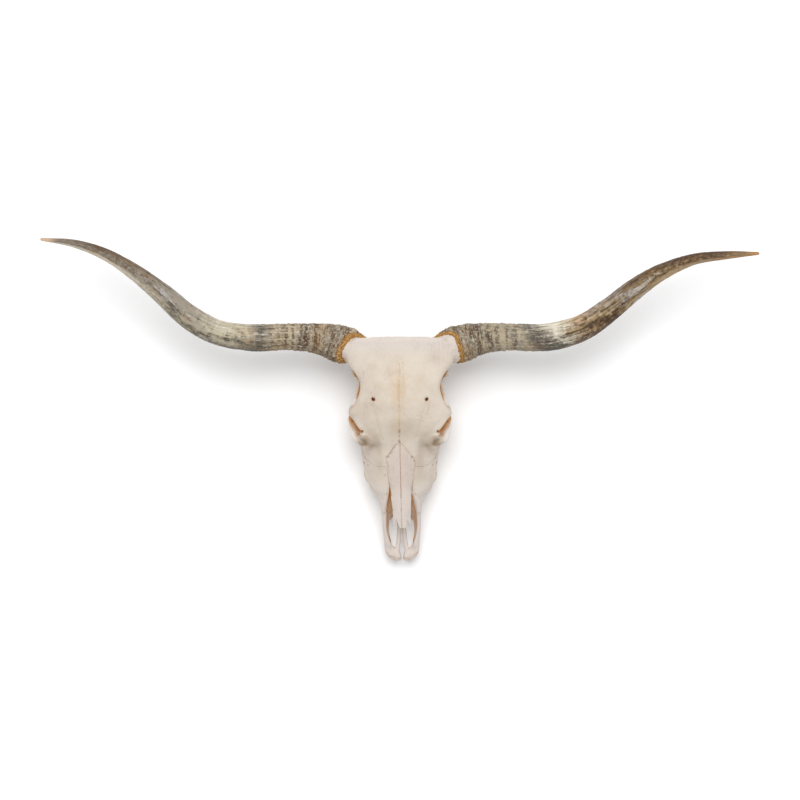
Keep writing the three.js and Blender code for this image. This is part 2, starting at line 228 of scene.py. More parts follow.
def bone_finish(name, ground, cloud, warm_tone):
    """Dry bone: cream with clouds, pores and tan seams, brown stain with painted shade in its hollows, and
    painted shade and painted light where the mesh carries them.
    """
    finish, tree, shader = new_finish(name)
    place = put(tree, "ShaderNodeTexCoord", output="Object")
    seam = attribute(tree, "seam")
    pit = attribute(tree, "pit")
    shelter = attribute(tree, "shelter")
    warmth = attribute(tree, "warmth")
    # the mesh's shade value: painted shade above nought, painted light below nought, partly a greyer tint of
    # the bone
    shade = attribute(tree, "shade")
    wide = noise(tree, place, 9.0, 3.0, 0.6)
    middle = noise(tree, place, 34.0, 4.0, 0.65)
    fine = noise(tree, place, 240.0, 3.0, 0.7)
    tone = blend(tree, wide.step(0.35, 0.68), colour(ground), colour(cloud))
    # painted shade: a greyish brown where the shade value is above nought
    tone = blend(tree, shade.math("MAXIMUM", 0.0) * (middle + 0.4), tone, colour("a39079"))
    # painted light: a pale cream where the shade value is below nought
    tone = blend(tree, (-shade).math("MAXIMUM", 0.0), tone, colour("f8f0e6"))
    streaky = noise(tree, stretched(tree, place, (1.0, 0.3, 1.0)), 60.0, 5.0, 0.7)
    mottle = (middle * 0.3 + streaky * 0.4 + wide * 0.3 + warmth * 0.2).step(0.46, 0.78)
    tone = blend(tree, mottle * (warmth * 0.6 + 0.18).math("MAXIMUM", 0.0), tone, colour(warm_tone))
    tone = blend(tree, (-warmth).math("MAXIMUM", 0.0), tone, colour("dfd5ce"))
    tone = blend(tree, fine.step(0.3, 0.7) * 0.10, tone, colour("b39c80"))
    hair = noise(tree, stretched(tree, place, (1.0, 0.13, 1.0)), 190.0, 2.0, 0.5) - 0.5
    lines = hair.math("ABSOLUTE").step(0.004, 0.03).inverse() * wide.step(0.42, 0.6)
    tone = blend(tree, lines * 0.22, tone, colour("a98f70"))
    pores = put(tree, "ShaderNodeTexVoronoi", {"Vector": place, "Scale": 420.0}, output="Distance")
    porous = noise(tree, place, 26.0, 2.0).step(0.52, 0.7)
    dots = pores.step(0.16, 0.3).inverse() * porous
    tone = blend(tree, dots * 0.35, tone, colour("8d6a48"))
    # brown stain with painted shade in closed-in places: amber where the shelter value is high
    stain_and_painted_shade = (shelter + (middle - 0.5) * 0.3).step(0.42, 0.86)
    tone = blend(tree, stain_and_painted_shade * 0.94, tone, colour("dda264"))
    # darker brown, stain and painted shade together, where the shelter value is highest
    dark_stain_and_painted_shade = (shelter + (middle - 0.5) * 0.25).step(0.78, 1.15)
    tone = blend(tree, dark_stain_and_painted_shade * 0.88, tone, colour("a0601f"))
    broken = noise(tree, place, 170.0, 2.0, 0.7).step(0.42, 0.56)
    tone = blend(tree, seam * (broken * 0.75 + 0.2), tone, colour("a27a52"))
    tone = blend(tree, pit, tone, colour("7a3f18"))
    plug(tree, shader.inputs["Base Color"], tone)
    plug(tree, shader.inputs["Roughness"], (middle * 0.2) + 0.52)
    shader.inputs["Specular IOR Level"].default_value = 0.32
    relief(tree, shader, fine * 0.35 + middle * 0.5 - dots * 0.5, 0.0009)
    return finish


def enamel_finish():
    """Cheek teeth: ivory enamel with brown stain in its folds and at the neck."""
    finish, tree, shader = new_finish("tooth_enamel")
    place = put(tree, "ShaderNodeTexCoord", output="Object")
    fold = attribute(tree, "fold")
    neck = attribute(tree, "neck")
    cloud = noise(tree, place, 90.0, 4.0, 0.6)
    streak = noise(tree, stretched(tree, place, (260.0, 260.0, 30.0)), 1.0, 3.0)
    tone = blend(tree, cloud, colour("e8dfcf"), colour("d2c1a2"))
    tone = blend(tree, (streak + neck * 0.5 - 0.35).step(0.2, 0.7) * 0.6, tone, colour("8a6a45"))
    tone = blend(tree, fold * (cloud * 0.5 + 0.6), tone, colour("4e3423"))
    plug(tree, shader.inputs["Base Color"], tone)
    plug(tree, shader.inputs["Roughness"], cloud * 0.25 + 0.25)
    relief(tree, shader, streak + cloud * 0.5, 0.0005)
    return finish


# ---------------------------------------------------------------- solid shapes as distance fields
FAR = 60.0
HEAD_STEP = 2.04
JAW_STEP = 1.3
NOSE_STEP = 1.0


def smooth_rows(rows, at):
    """The values of a table at the given places, on a smooth line through its rows."""
    table = np.array(rows, float)
    table = table[np.argsort(table[:, 0])]
    stops, values = table[:, 0], table[:, 1:]
    slopes = np.gradient(values, stops, axis=0)
    at = np.clip(np.ravel(at), stops[0], stops[-1])
    k = np.clip(np.searchsorted(stops, at) - 1, 0, len(stops) - 2)
    span = (stops[k + 1] - stops[k])[:, None]
    u = (at - stops[k])[:, None] / span
    rise = values[k + 1] - values[k]
    start = slopes[k] * span
    end = slopes[k + 1] * span
    curve = values[k] + u * start + u * u * (3 * rise - 2 * start - end)
    return curve + u ** 3 * (start + end - 2 * rise)


def rows_at(rows, y):
    """The columns of a table at the given places along Y, ready to combine with X and Z."""
    return [column[None, :, None] for column in smooth_rows(rows, y).T]


def smaller(a, b, soft):
    """The smaller of two distances, with a rounded changeover: two shapes grown together."""
    if soft <= 0:
        return np.minimum(a, b)
    near = np.maximum(soft - np.abs(a - b), 0) / soft
    return np.minimum(a, b) - near * near * soft * 0.25


def larger(a, b, soft):
    """The larger of two distances: a shape kept only inside another."""
    return -smaller(-a, -b, soft)


def corner_shares(within):
    """The eight corners of a cell, each with its share of the places within it."""
    for i in (0, 1):
        for j in (0, 1):
            for k in (0, 1):
                share = np.abs(1 - i - within[:, 0]) * np.abs(1 - j - within[:, 1])
                yield (i, j, k), share * np.abs(1 - k - within[:, 2])


class Block:
    """A box of sample points on the steer's left side, in millimetres, with the distance to the surface."""

    def __init__(self, low, high, step):
        self.low = np.array(low, float)
        self.step = step
        counts = np.ceil((np.array(high, float) - self.low) / step).astype(int) + 1
        self.axes = [self.low[k] + np.arange(counts[k]) * step for k in range(3)]
        self.field = np.full(counts, FAR, np.float32)

    def part(self, low, high, margin):
        """The samples within a box, as slices and as open axes."""
        cuts = []
        for k in range(3):
            a = np.searchsorted(self.axes[k], low[k] - margin)
            b = np.searchsorted(self.axes[k], high[k] + margin)
            cuts.append(slice(a, b))
        x = self.axes[0][cuts[0]][:, None, None].astype(np.float32)
        y = self.axes[1][cuts[1]][None, :, None].astype(np.float32)
        z = self.axes[2][cuts[2]][None, None, :].astype(np.float32)
        return tuple(cuts), x, y, z

    def add(self, shape, soft=4.0):
        """Grows a shape onto what is there."""
        self.change(shape, lambda here, there: smaller(here, there, soft), soft)

    def cut(self, shape, soft=3.0):
        """Takes a shape away from what is there."""
        self.change(shape, lambda here, there: larger(here, -there, soft), soft)

    def change(self, shape, rule, soft):
        """Joins a shape by a rule to the samples near it."""
        low, high, distance = shape
        cuts, x, y, z = self.part(low, high, soft + 4)
        here = self.field[cuts]
        if here.size:
            there = np.broadcast_to(distance(x, y, z), here.shape)
            self.field[cuts] = rule(here, there)

    def keep(self, distance, soft=1.0):
        """Keeps only what lies where the distance is below nought."""
        x, y, z = self.part(self.low, self.low + 1e4, 0)[1:]
        self.field = larger(self.field, distance(x, y, z), soft).astype(np.float32)

    def sample(self, points):
        """The distance at any points, mirrored at the middle."""
        place = np.abs(points * (1, 0, 0)) + points * (0, 1, 1)
        wanted = (place - self.low) / self.step
        held = np.clip(wanted, 0, np.array(self.field.shape) - 1.001)
        beyond = np.linalg.norm(wanted - held, axis=1) * self.step
        cell = held.astype(int)
        total = 0
        for (i, j, k), share in corner_shares(held - cell):
            total = total + share * self.field[cell[:, 0] + i, cell[:, 1] + j, cell[:, 2] + k]
        return total + beyond

    def skin(self):
        """The surface of what it holds."""
        return skin_of(self.field, self.low, self.step)


def egg(at, radii, turn=(0, 0, 0)):
    """An ellipsoid, turned about X, then Y, then Z of its own."""
    turned = np.eye(3)
    for axis, angle in enumerate(turn):
        c, s = math.cos(angle), math.sin(angle)
        step = np.eye(3)
        a, b = [(1, 2), (2, 0), (0, 1)][axis]
        step[a, a] = step[b, b] = c
        step[b, a], step[a, b] = s, -s
        turned = turned @ step
    at = np.array(at, float)
    reach = max(radii)

    def distance(x, y, z):
        p = [x - at[0], y - at[1], z - at[2]]
        own = [sum(turned[r, k] * p[r] for r in range(3)) for k in range(3)]
        k0 = np.sqrt(sum((own[k] / radii[k]) ** 2 for k in range(3))) + 1e-6
        k1 = np.sqrt(sum((own[k] / radii[k] ** 2) ** 2 for k in range(3))) + 1e-6
        return k0 * (k0 - 1) / k1

    return at - reach, at + reach, distance


def bar(rows, pieces=5, flat=1.0):
    """A round bar along a smooth line through rows of x, y, z and radius; flat squeezes its height."""
    rows = np.array(rows, float)
    run = np.concatenate([[0], np.cumsum(np.linalg.norm(np.diff(rows[:, :3], axis=0), axis=1))])
    places = [np.linspace(a, b, pieces, endpoint=False) for a, b in zip(run[:-1], run[1:])]
    line = smooth_rows(np.column_stack([run, rows]), np.append(places, run[-1]))
    reach = line[:, 3].max()

    def distance(x, y, z):
        best = None
        for (ax, ay, az, ar), (bx, by, bz, br) in zip(line[:-1], line[1:]):
            dx, dy, dz = bx - ax, by - ay, (bz - az) / flat
            px, py, pz = x - ax, y - ay, (z - az) / flat
            t = np.clip((px * dx + py * dy + pz * dz) / max(dx * dx + dy * dy + dz * dz, 1e-6), 0, 1)
            away = np.sqrt((px - t * dx) ** 2 + (py - t * dy) ** 2 + (pz - t * dz) ** 2)
            away = away - (ar + (br - ar) * t)
            best = away if best is None else np.minimum(best, away)
        return best

    return line[:, :3].min(0) - reach, line[:, :3].max(0) + reach, distance


def loft(rows, ends=6.0):
    """A body through rows of y, half width, top, waist, bottom, upper power and lower power."""
    table = np.array(rows, float)
    front, back = table[:, 0].min(), table[:, 0].max()
    low = (-table[:, 1].max(), front, table[:, 4].min())
    high = (table[:, 1].max(), back, table[:, 2].max())

    def distance(x, y, z):
        half, top, waist, bottom, upper, lower = np.float32(rows_at(rows, y))
        rise = z - waist
        tall = np.where(rise > 0, top - waist, waist - bottom)
        power = np.where(rise > 0, upper, lower)
        a = np.abs(x) / half + 1e-4
        b = np.abs(rise) / tall + 1e-4
        total = a ** power + b ** power
        g = total ** (1 / power)
        steep = np.sqrt((a ** (power - 1) / half) ** 2 + (b ** (power - 1) / tall) ** 2) * g ** (1 - power)
        side = np.clip((g - 1) / steep, -FAR, FAR)
        return larger(side, np.maximum(y - back, front - y), ends)

    return low, high, distance


def plane(corners):
    """The distance ahead of a plane through three points; ahead is towards the muzzle."""
    a, b, c = (np.array(p, float) for p in corners)
    normal = np.cross(b - a, c - a)
    normal /= np.linalg.norm(normal)
    if normal[1] > 0:
        normal = -normal
    return lambda x, y, z: (x - a[0]) * normal[0] + (y - a[1]) * normal[1] + (z - a[2]) * normal[2]


def grain(points, size, seed):
    """Smooth random heights from -1 to 1, with hills about size millimetres across."""
    table = np.random.default_rng(seed).uniform(-1, 1, 4096)
    scaled = points / size
    cell = np.floor(scaled).astype(np.int64)
    within = scaled - cell
    within = within * within * (3 - 2 * within)
    total = 0
    for (i, j, k), share in corner_shares(within):
        x, y, z = cell[:, 0] + i, cell[:, 1] + j, cell[:, 2] + k
        total = total + share * table[(x * 73856093 ^ y * 19349663 ^ z * 83492791) & 4095]
    return total


# ---------------------------------------------------------------- the head's sizes, in millimetres
MUZZLE_LEAN = 5.5
LEAN_STARTS = -110
LEAN_RUN = 268

CORE = [
    [128, 56, 160, 108, 66, 3.0, 2.4], [112, 66, 172, 112, 52, 3.0, 2.4],
    [80, 68, 178, 112, 46, 2.8, 2.4], [40, 58, 180, 112, 46, 2.8, 2.2], [0, 52, 180, 116, 52, 2.8, 2.2],
    [-35, 50, 177, 112, 50, 2.8, 2.4], [-65, 62, 171, 100, 40, 2.4, 2.6],
    [-95, 79, 164, 90, 32, 2.0, 2.6], [-125, 85.5, 159, 80, 29, 1.8, 2.4],
    [-160, 81, 150, 72, 28, 1.65, 2.3], [-185, 77, 143, 68, 28, 1.65, 2.3],
    [-210, 67.5, 136, 68, 31, 1.75, 2.4], [-221, 56.5, 133, 69, 33, 1.9, 2.5],
    [-232, 48.5, 130, 70, 34, 2.0, 2.6], [-285, 41, 113, 68, 38, 2.2, 2.8],
]
ROOF = [
    [144.5, 96, 178, 164, 140, 3.4, 3.0], [139, 106, 181, 160, 118, 4.0, 3.0],
    [124, 124, 182, 150, 100, 3.4, 2.6], [102, 126, 184, 152, 108, 3.4, 2.6],
    [80, 117, 186, 158, 124, 3.4, 2.6], [60, 102, 188, 164, 138, 4.0, 3.0],
    [38, 92, 190, 166, 146, 4.5, 3.0], [14, 94, 189, 164, 146, 4.0, 3.0],
    [-10, 105, 187, 160, 142, 3.2, 3.0], [-30, 117, 183, 156, 140, 2.8, 3.0],
    [-48, 104, 181, 156, 140, 2.6, 3.0], [-70, 88, 175.5, 148, 130, 2.2, 2.6],
    [-92, 70, 168, 138, 116, 2.0, 2.4], [-112, 46, 160, 130, 110, 2.0, 2.4],
]
SOCKET = egg([95, -54, 131], [42, 28, 29], [0, 0.18, 0.5])
SOCKET_RIM = [
    [111, -25, 136, 7], [110.5, -31, 150, 6.5], [104, -38, 159, 6], [98.5, -48, 163, 6],
    [92, -58, 163, 6], [84, -68, 160, 6.5], [80, -80, 150, 8], [85, -87, 134, 9.5], [97, -89, 114, 10.5],
    [105, -74, 102, 10], [110, -54, 104, 8.5], [112.5, -38, 116, 7.5], [111, -25, 136, 7],
]
EYE_BAR = [[106, -22, 154, 6], [110, -21, 138, 5.6], [110.5, -18, 120, 5.6], [108, -17, 104, 7]]
ARCH = [
    [110, -42, 103, 8], [104, -14, 103, 7], [99, 2, 102, 7.5], [95, 20, 101, 7.5], [90, 38, 100, 7],
    [95, 56, 98, 8.5], [80, 76, 96, 15],
]
ALVEOLAR = [[50, -60, 34, 14], [53, -100, 33, 15], [52, -150, 33, 14], [45, -208, 35, 9]]
PARACONDYLAR = [[58, 104, 78, 13], [57, 103, 48, 11], [53, 98, 20, 8], [51, 95, 3, 6]]
PASSAGE = [
    [-120, 20, 122, 96, 72, 2, 2], [-155, 29, 126, 92, 62, 2.2, 2.2], [-190, 36, 124, 88, 54, 2.4, 2.4],
    [-232, 37, 118, 82, 50, 2.6, 2.6], [-305, 37, 110, 78, 47, 3, 3],
]
NOTCH = plane([(0, -205, 136), (0, -282, 40), (1, -282, 40)])
JAW_SEAM = plane([(34, -166, 148), (92, -124, 84), (50, -40, 24)])
SHEATH_ROOT = [
    [74, 121, 131, 21], [90, 122, 130, 30], [110, 124.5, 129, 40], [134, 127.5, 129.5, 43.5],
    [160, 135, 130.5, 41], [187, 141, 132, 35.5], [240, 145, 135, 31.5],
]
HORN_LEFT = [
    [345, 145, 144, 32], [411, 162.5, 150, 30.5], [476, 204.5, 157, 27.5], [536, 252.5, 163, 24],
    [600, 293.5, 169, 18.7], [668, 321, 174, 13.2], [745, 331, 178, 9.5], [818, 335, 180, 3.6],
]
HORN_RIGHT = [
    [350, 144, 144, 31], [417, 154.5, 150, 29.2], [484, 191, 157, 27.7], [546, 245, 163, 23.8],
    [606, 291.5, 169, 18.4], [672, 332, 174, 14], [745, 357.5, 179, 9.3], [819, 367, 181, 3.4],
]
CORE_INSET = 2.6  # how much thinner the bony horn core is than its sheath
CORE_END = 140  # the core is left out further inside the sheath
# Where each sheath covers the bone, seen from above.
SHEATHED = {
    "left": [
        (66, 142.6), (122, 142.2), (127.5, 139.5), (131, 134), (133.5, 127), (135, 118), (135.2, 108),
        (133.5, 98), (130, 90), (125, 84), (118, 70), (200, 70), (200, 175), (66, 175),
    ],
    "right": [
        (66, 142.6), (104, 142), (111, 139), (117, 135), (121.5, 131), (125, 127), (128.5, 120),
        (130.6, 112), (130.6, 104), (128.5, 97), (124.5, 91), (121, 87), (116, 70), (200, 70), (200, 175),
        (66, 175),
    ],
}


def suture_wave(x, y, z):
    """The interlocking waves of a suture."""
    coarse = 1.3 * np.sin(x / 2.9 + 0.7 * np.sin(z / 5.0)) * np.cos(z / 4.1)
    return coarse + 0.9 * np.sin(x / 6.3 + 1.0) + 0.8 * np.sin(z / 7.9 + y / 9.0)


def from_sheath(x, y, z):
    """How far a point is outside the sheath's skin, near the root, where the sheath runs along X."""
    values = smooth_rows(SHEATH_ROOT, x)
    middle, height, radius = [values[:, k][:, None, None] for k in range(3)]
    return np.sqrt((y - middle) ** 2 + (z - height) ** 2) - radius


def horn_core():
    """The bony core that carries the sheath, a little thinner than it."""

    def distance(x, y, z):
        return np.maximum(from_sheath(x, y, z) + CORE_INSET, np.maximum(70 - x, x - CORE_END))

    return (66, 76, 84), (CORE_END + 4, 182, 176), distance


def under_sheath(side):
    """The room that a horn sheath takes at its root, where the bone draws back below it."""

    def distance(x, y, z):
        return np.maximum(plan_distance(x, y, SHEATHED[side]), -CORE_INSET - from_sheath(x, y, z))

    return (62, 66, 60), (156, 176, 200), distance


def head(block):
    """Braincase, face, eye sockets, arches and the base of the skull, grown together."""
    block.add(loft(CORE), 0)
    block.add(loft(ROOF, 5), 9)
    block.add(horn_core(), 7)
    block.add(egg([76, -172, 66], [8.5, 15, 12]), 8)
    block.add(egg([49, -58, 62], [22, 34, 31]), 10)
    block.add(bar(ALVEOLAR), 8)
    block.add(bar(SOCKET_RIM), 7)
    block.add(bar([[70, -92, 146, 13], [74, -104, 126, 14], [75, -116, 104, 14]], 3), 14)
    block.add(bar([[80, -98, 100, 12], [77.5, -125, 88, 9], [74, -150, 74, 8], [72, -178, 66, 6]]), 9)
    block.cut(SOCKET, 2.5)
    block.cut(bar([[112, -40, 141, 5], [103, -56, 139, 6], [91, -70, 140, 6]], 3, 2.6), 2.5)
    block.add(bar([[76, -66, 118, 13], [79, -82, 126, 13], [80, -95, 112, 13]], 3), 6)
    block.add(bar([[104, -40, 94, 8], [100, -58, 95, 10], [92, -72, 99, 11], [80, -80, 106, 12]], 3), 5)
    block.cut(egg([92, -106, 154], [19, 16, 24], [0.5, 0, 0]), 4)  # the hollow before the socket's front edge
    block.cut(bar([[87, -72, 172, 2.6], [86.5, -71.5, 157, 2.6]], 1), 1.2)
    block.cut(bar([[70, -20, 116, 15], [66, 14, 112, 14], [68, 44, 114, 11]]), 8)
    block.add(bar(ARCH), 6)
    block.add(bar(EYE_BAR), 5)
    block.add(egg([105, 61.5, 108], [7.5, 8.5, 9]), 3)
    block.add(egg([80, 34, 84], [13, 12, 9], [0, 0, 0.3]), 8)
    block.cut(egg([75, 34, 66], [20, 14, 9]), 5)
    block.add(egg([31, 120, 62], [17, 18, 23], [0.5, 0, -0.3]), 5)
    block.add(bar(PARACONDYLAR), 8)
    block.cut(bar([[0, 165, 72, 18], [0, 70, 92, 17]], 1), 4)
    block.add(egg([42, 62, 46], [12, 18, 16]), 5)
    block.add(bar([[70, 74, 88, 12], [95, 78, 91, 10]], 1), 5)
    block.cut(bar([[84, 76, 89.5, 5], [104, 79, 92, 6]], 1), 1.5)
    block.add(egg([15, 52, 45], [11, 14, 9]), 5)
    block.add(egg([25, -28, 46], [4, 46, 22]), 5)
    block.cut(loft(PASSAGE, 3), 3)
    block.cut(egg([0, -58, 52], [17, 34, 26]), 4)
    block.cut(egg([0, -120, 18], [36, 130, 17]), 5)
    block.cut(bar([[60, 12, 40, 22], [58, 34, 38, 15]], 1), 8)
    block.cut(bar([[62.5, 3.5, 196, 2.4], [62, 3.5, 182, 2.2]], 1), 1.0)  # the hole above the eye
    block.cut(bar([[60, 1.5, 196, 3.0], [60, 0.5, 179, 2.4]], 1), 1.0)
    block.cut(bar([[84, -143, 82, 3.2], [70, -152, 78, 3.0]], 1), 2)
    block.add(bar([[59, -196, 72, 6], [46, -222, 82, 6], [40, -236, 92, 6]], 3), 8)
    block.cut(bar([[66, -202, 70, 4.0], [52, -196, 72, 3.4]], 1), 3)  # the hole of the cheek nerve
    block.keep(lambda x, y, z: NOTCH(x, y, z) + 0.1, 2)
    block.keep(lambda x, y, z: 0.35 - z, 1.5)  # nothing reaches below the floor


def skin_of(field, low, step):
    """The largest connected surface of a distance field: points in millimetres and four-cornered faces."""
    grid = openvdb.FloatGrid(3.0 * step)
    grid.copyFromArray(np.clip(field, -3 * step, 3 * step).astype(np.float32))
    points, _, fours = grid.convertToPolygons(isovalue=0.0, adaptivity=0.0)
    points = points.astype(float) * step + low
    fours = fours.astype(np.int64)
    label = np.arange(len(points))
    for _ in range(400):
        least = label[fours].min(1)
        fresh = label.copy()
        np.minimum.at(fresh, fours.ravel(), np.repeat(least, 4))
        fresh = fresh[fresh]
        if (fresh == label).all():
            break
        label = fresh
    names, sizes = np.unique(label[fours[:, 0]], return_counts=True)
    keep = label == names[np.argmax(sizes)]
    number = np.cumsum(keep) - 1
    return points[keep], number[fours[keep[fours[:, 0]]]]


def new_piece(name, points, faces):
    """A mesh object from points in metres and equal-sided faces."""
    mesh = bpy.data.meshes.new(name)
    corners = faces.shape[1]
    mesh.vertices.add(len(points))
    mesh.vertices.foreach_set("co", np.ascontiguousarray(points, np.float32).ravel())
    mesh.loops.add(faces.size)
    mesh.loops.foreach_set("vertex_index", faces.astype(np.int32).ravel())
    mesh.polygons.add(len(faces))
    mesh.polygons.foreach_set("loop_start", np.arange(0, faces.size, corners, dtype=np.int32))
    mesh.polygons.foreach_set("use_smooth", np.full(len(faces), True))
    mesh.update(calc_edges=True)
    mesh.validate()
    piece = bpy.data.objects.new(name, mesh)
    bpy.context.scene.collection.objects.link(piece)
    return piece


def carry(piece, name, values):
    """Stores one value for each point of a piece."""
    layer = piece.data.attributes.new(name, "FLOAT", "POINT")
    layer.data.foreach_set("value", np.ascontiguousarray(values, np.float32))


# Lines and pits on the bones, seen from above, from the side or from below.
# Each seam: view, corners, width, depth, colour strength.
SEAMS = [
    ("top", [(-8, 88), (-9, 60), (-7, 34), (-4, 10)], 1.2, 0.3, 0.22),
    ("top", [(6, 90), (8, 62), (5, 34), (1, 12)], 1.2, 0.3, 0.22),
    ("top", [(-3, 84), (-1, 60), (-3, 20), (-2, -20), (-2, -66), (-2, -98)], 1.3, 0.5, 0.42),
    ("top", [(-7.6, -99.6), (-13, -108), (-21.6, -122), (-31, -131.8)], 1.4, 0.5, 0.55),
    ("top", [(-1, -101), (13.6, -117), (27.6, -131), (36, -143)], 1.3, 0.3, 0.25),
    ("top", [(-31.5, -131.8), (-31, -138), (-27, -152), (-28.6, -173), (-25.5, -192)], 1.3, 0.3, 0.4),
    ("top", [(36, -143), (34, -152), (32, -166), (29, -192), (26.6, -215)], 1.3, 0.3, 0.35),
    ("top", [(-1, -98), (1, -150), (2.2, -205), (3.4, -255), (4.4, -296)], 1.2, 0.0, 0.4),
    ("top", [(-63, 1), (-61, -20), (-54, -48), (-49, -70), (-40, -92)], 3.2, 1.6, 0.05),
    ("top", [(61, 0), (58, -20), (50, -42), (44, -66), (38, -88)], 3.2, 1.6, 0.05),
    ("top", [(64, -6), (66, -20), (61, -32)], 1.6, 0.8, 0.35),
    ("top", [(-64, -2), (-66, -12), (-60, -14)], 1.6, 0.6, 0.3),
    ("top", [(42, -36), (56, -42)], 1.6, 1.0, 0.35),
    ("top", [(43, -46), (54, -49)], 1.6, 1.0, 0.35),
    ("top", [(-92, -100), (-86, -104), (-76, -101)], 2.2, 1.6, 0.35),
    ("top", [(92, -100), (86, -104), (76, -101)], 2.2, 1.6, 0.35),
    ("top", [(-33, -251), (-28.5, -257), (-24, -262), (-17, -253)], 1.5, 1.0, 1.0),
    ("top", [(-37, -352), (-24, -363), (-10, -368), (3, -368)], 2.4, 0.3, 0.6),
    ("top", [(45, -352), (32, -363), (20, -368), (8, -368)], 2.4, 0.3, 0.6),
    ("side", [(-24, 140), (-22, 124), (-26, 112)], 1.6, 0.9, 0.5),
    ("side", [(-2, 96), (14, 108)], 1.6, 0.9, 0.5),
    ("side", [(-96, 140), (-116, 118), (-134, 104), (-150, 100)], 1.6, 0.8, 0.5),
    ("side", [(-100, 118), (-118, 96), (-122, 82)], 1.6, 0.8, 0.5),
    ("side", [(70, 150), (84, 120), (88, 98)], 1.6, 0.8, 0.5),
    ("bottom", [(0, -50), (0, -240)], 1.4, 0.8, 0.5),
    ("bottom", [(-30, -92), (-12, -80), (0, -84), (12, -80), (30, -92)], 1.5, 0.8, 0.5),
    ("bottom", [(-20, 36), (0, 34), (20, 36)], 1.5, 0.8, 0.5),
]
# Each pit: view, a, b, radius, depth, colour strength.
PITS = [
    ("top", -1.5, -71, 2.0, 1.8, 0.95), ("top", -1.5, -75, 1.6, 1.5, 0.8),
    ("top", -1.2, -83, 1.4, 1.2, 0.6), ("top", -1.5, -95, 2.0, 1.6, 0.9),
    ("top", -1.0, -66, 1.2, 1.0, 0.6), ("top", -0.6, -15, 1.4, 0.9, 0.4), ("top", -66, 16, 1.3, 1.0, 0.5),
    ("top", -61, -8, 1.6, 1.0, 0.35), ("top", -70, -9, 1.4, 1.0, 0.3), ("top", -64, 24, 1.0, 0.7, 0.35),
    ("top", -58, 27, 1.0, 0.7, 0.35), ("top", -27, -131, 2.0, 1.2, 0.5),
    ("top", 27.5, -131, 2.2, 1.3, 0.6), ("top", 33, -140, 1.8, 1.2, 0.5),
    ("top", -35, -173, 1.8, 1.0, 0.4), ("top", -93, -98, 1.8, 0.6, 0.6),
    ("top", -31, -131, 1.6, 1.0, 0.4), ("top", -31, -160, 1.5, 0.8, 0.35),
    ("top", 27.6, -160, 1.5, 0.8, 0.35), ("top", -84, -170, 3.4, 0.0, 0.22),
    ("top", 84, -170, 3.4, 0.0, 0.22), ("top", -87, -72, 2.4, 1.0, 0.9), ("top", 87, -72, 2.4, 1.0, 0.9),
    ("top", -2, 82, 1.6, 0.8, 0.35), ("top", 5, 84, 1.2, 0.6, 0.3), ("top", -60.6, 2, 3.6, 0.0, 1.0),
    ("top", 60.6, 2, 3.6, 0.0, 1.0), ("top", -6, 88, 1.2, 0.6, 0.25), ("bottom", 22, -70, 2.8, 2.5, 0.9),
    ("bottom", -22, -70, 2.8, 2.5, 0.9), ("side", -150, 100, 1.6, 1.0, 0.6),
    ("side", 60, 120, 2.0, 1.4, 0.7),
]
VIEWS = {"top": (0, 1, 2, 1), "side": (1, 2, 0, 0), "bottom": (0, 1, 2, -1)}


def facing(view, points, normals):
    """The two coordinates that a view shows, and how far each point faces it."""
    a, b, out, sign = VIEWS[view]
    turned = np.abs(normals[:, out]) if sign == 0 else normals[:, out] * sign
    return points[:, a], points[:, b], np.clip(turned * 2.2 - 0.2, 0, 1)


def off_segment(x, y, start, end):
    """The square of how far each point of a plan is from a segment."""
    ax, ay = start
    dx, dy = end[0] - ax, end[1] - ay
    t = np.clip(((x - ax) * dx + (y - ay) * dy) / (dx * dx + dy * dy), 0, 1)
    return (x - ax - t * dx) ** 2 + (y - ay - t * dy) ** 2


def off_line(a, b, corners):
    """How far each point is from a line with corners."""
    best = np.full(len(a), 1e6)
    for start, end in zip(corners[:-1], corners[1:]):
        best = np.minimum(best, off_segment(a, b, start, end))
    return np.sqrt(best)


def plan_distance(x, y, outline):
    """How far each point of a plan is outside a closed outline."""
    ring = np.array(outline, float)
    best = np.inf
    inside = np.zeros(np.broadcast(x, y).shape, bool)
    for (ax, ay), (bx, by) in zip(ring, np.roll(ring, -1, axis=0)):
        best = np.minimum(best, off_segment(x, y, (ax, ay), (bx, by)))
        if ay != by:
            crosses = (ay > y) != (by > y)
            inside ^= crosses & (x < (bx - ax) * (y - ay) / (by - ay) + ax)
    return np.sqrt(best) * np.where(inside, -1, 1)


def lean(points):
    """The muzzle leans a little to the steer's left."""
    moved = points.copy()
    moved[:, 0] += MUZZLE_LEAN * np.maximum(0, (LEAN_STARTS - points[:, 1]) / LEAN_RUN)
    return moved


def fade(values, low, high):
    """0 below low and 1 above high."""
    return np.clip((values - low) / (high - low), 0, 1)


def rod_share(points):
    """How much the slim rods between the nostrils are kept free of brown stain and painted shade, and painted
    lighter, save at their upper ends.
    """
    x, y, z = points.T
    down = np.interp(y, [-340, -312, -292, -280], [0.75, 0.75, 0.3, 0])
    return fade(-np.abs(x), -16, -12) * down * (z < 60)


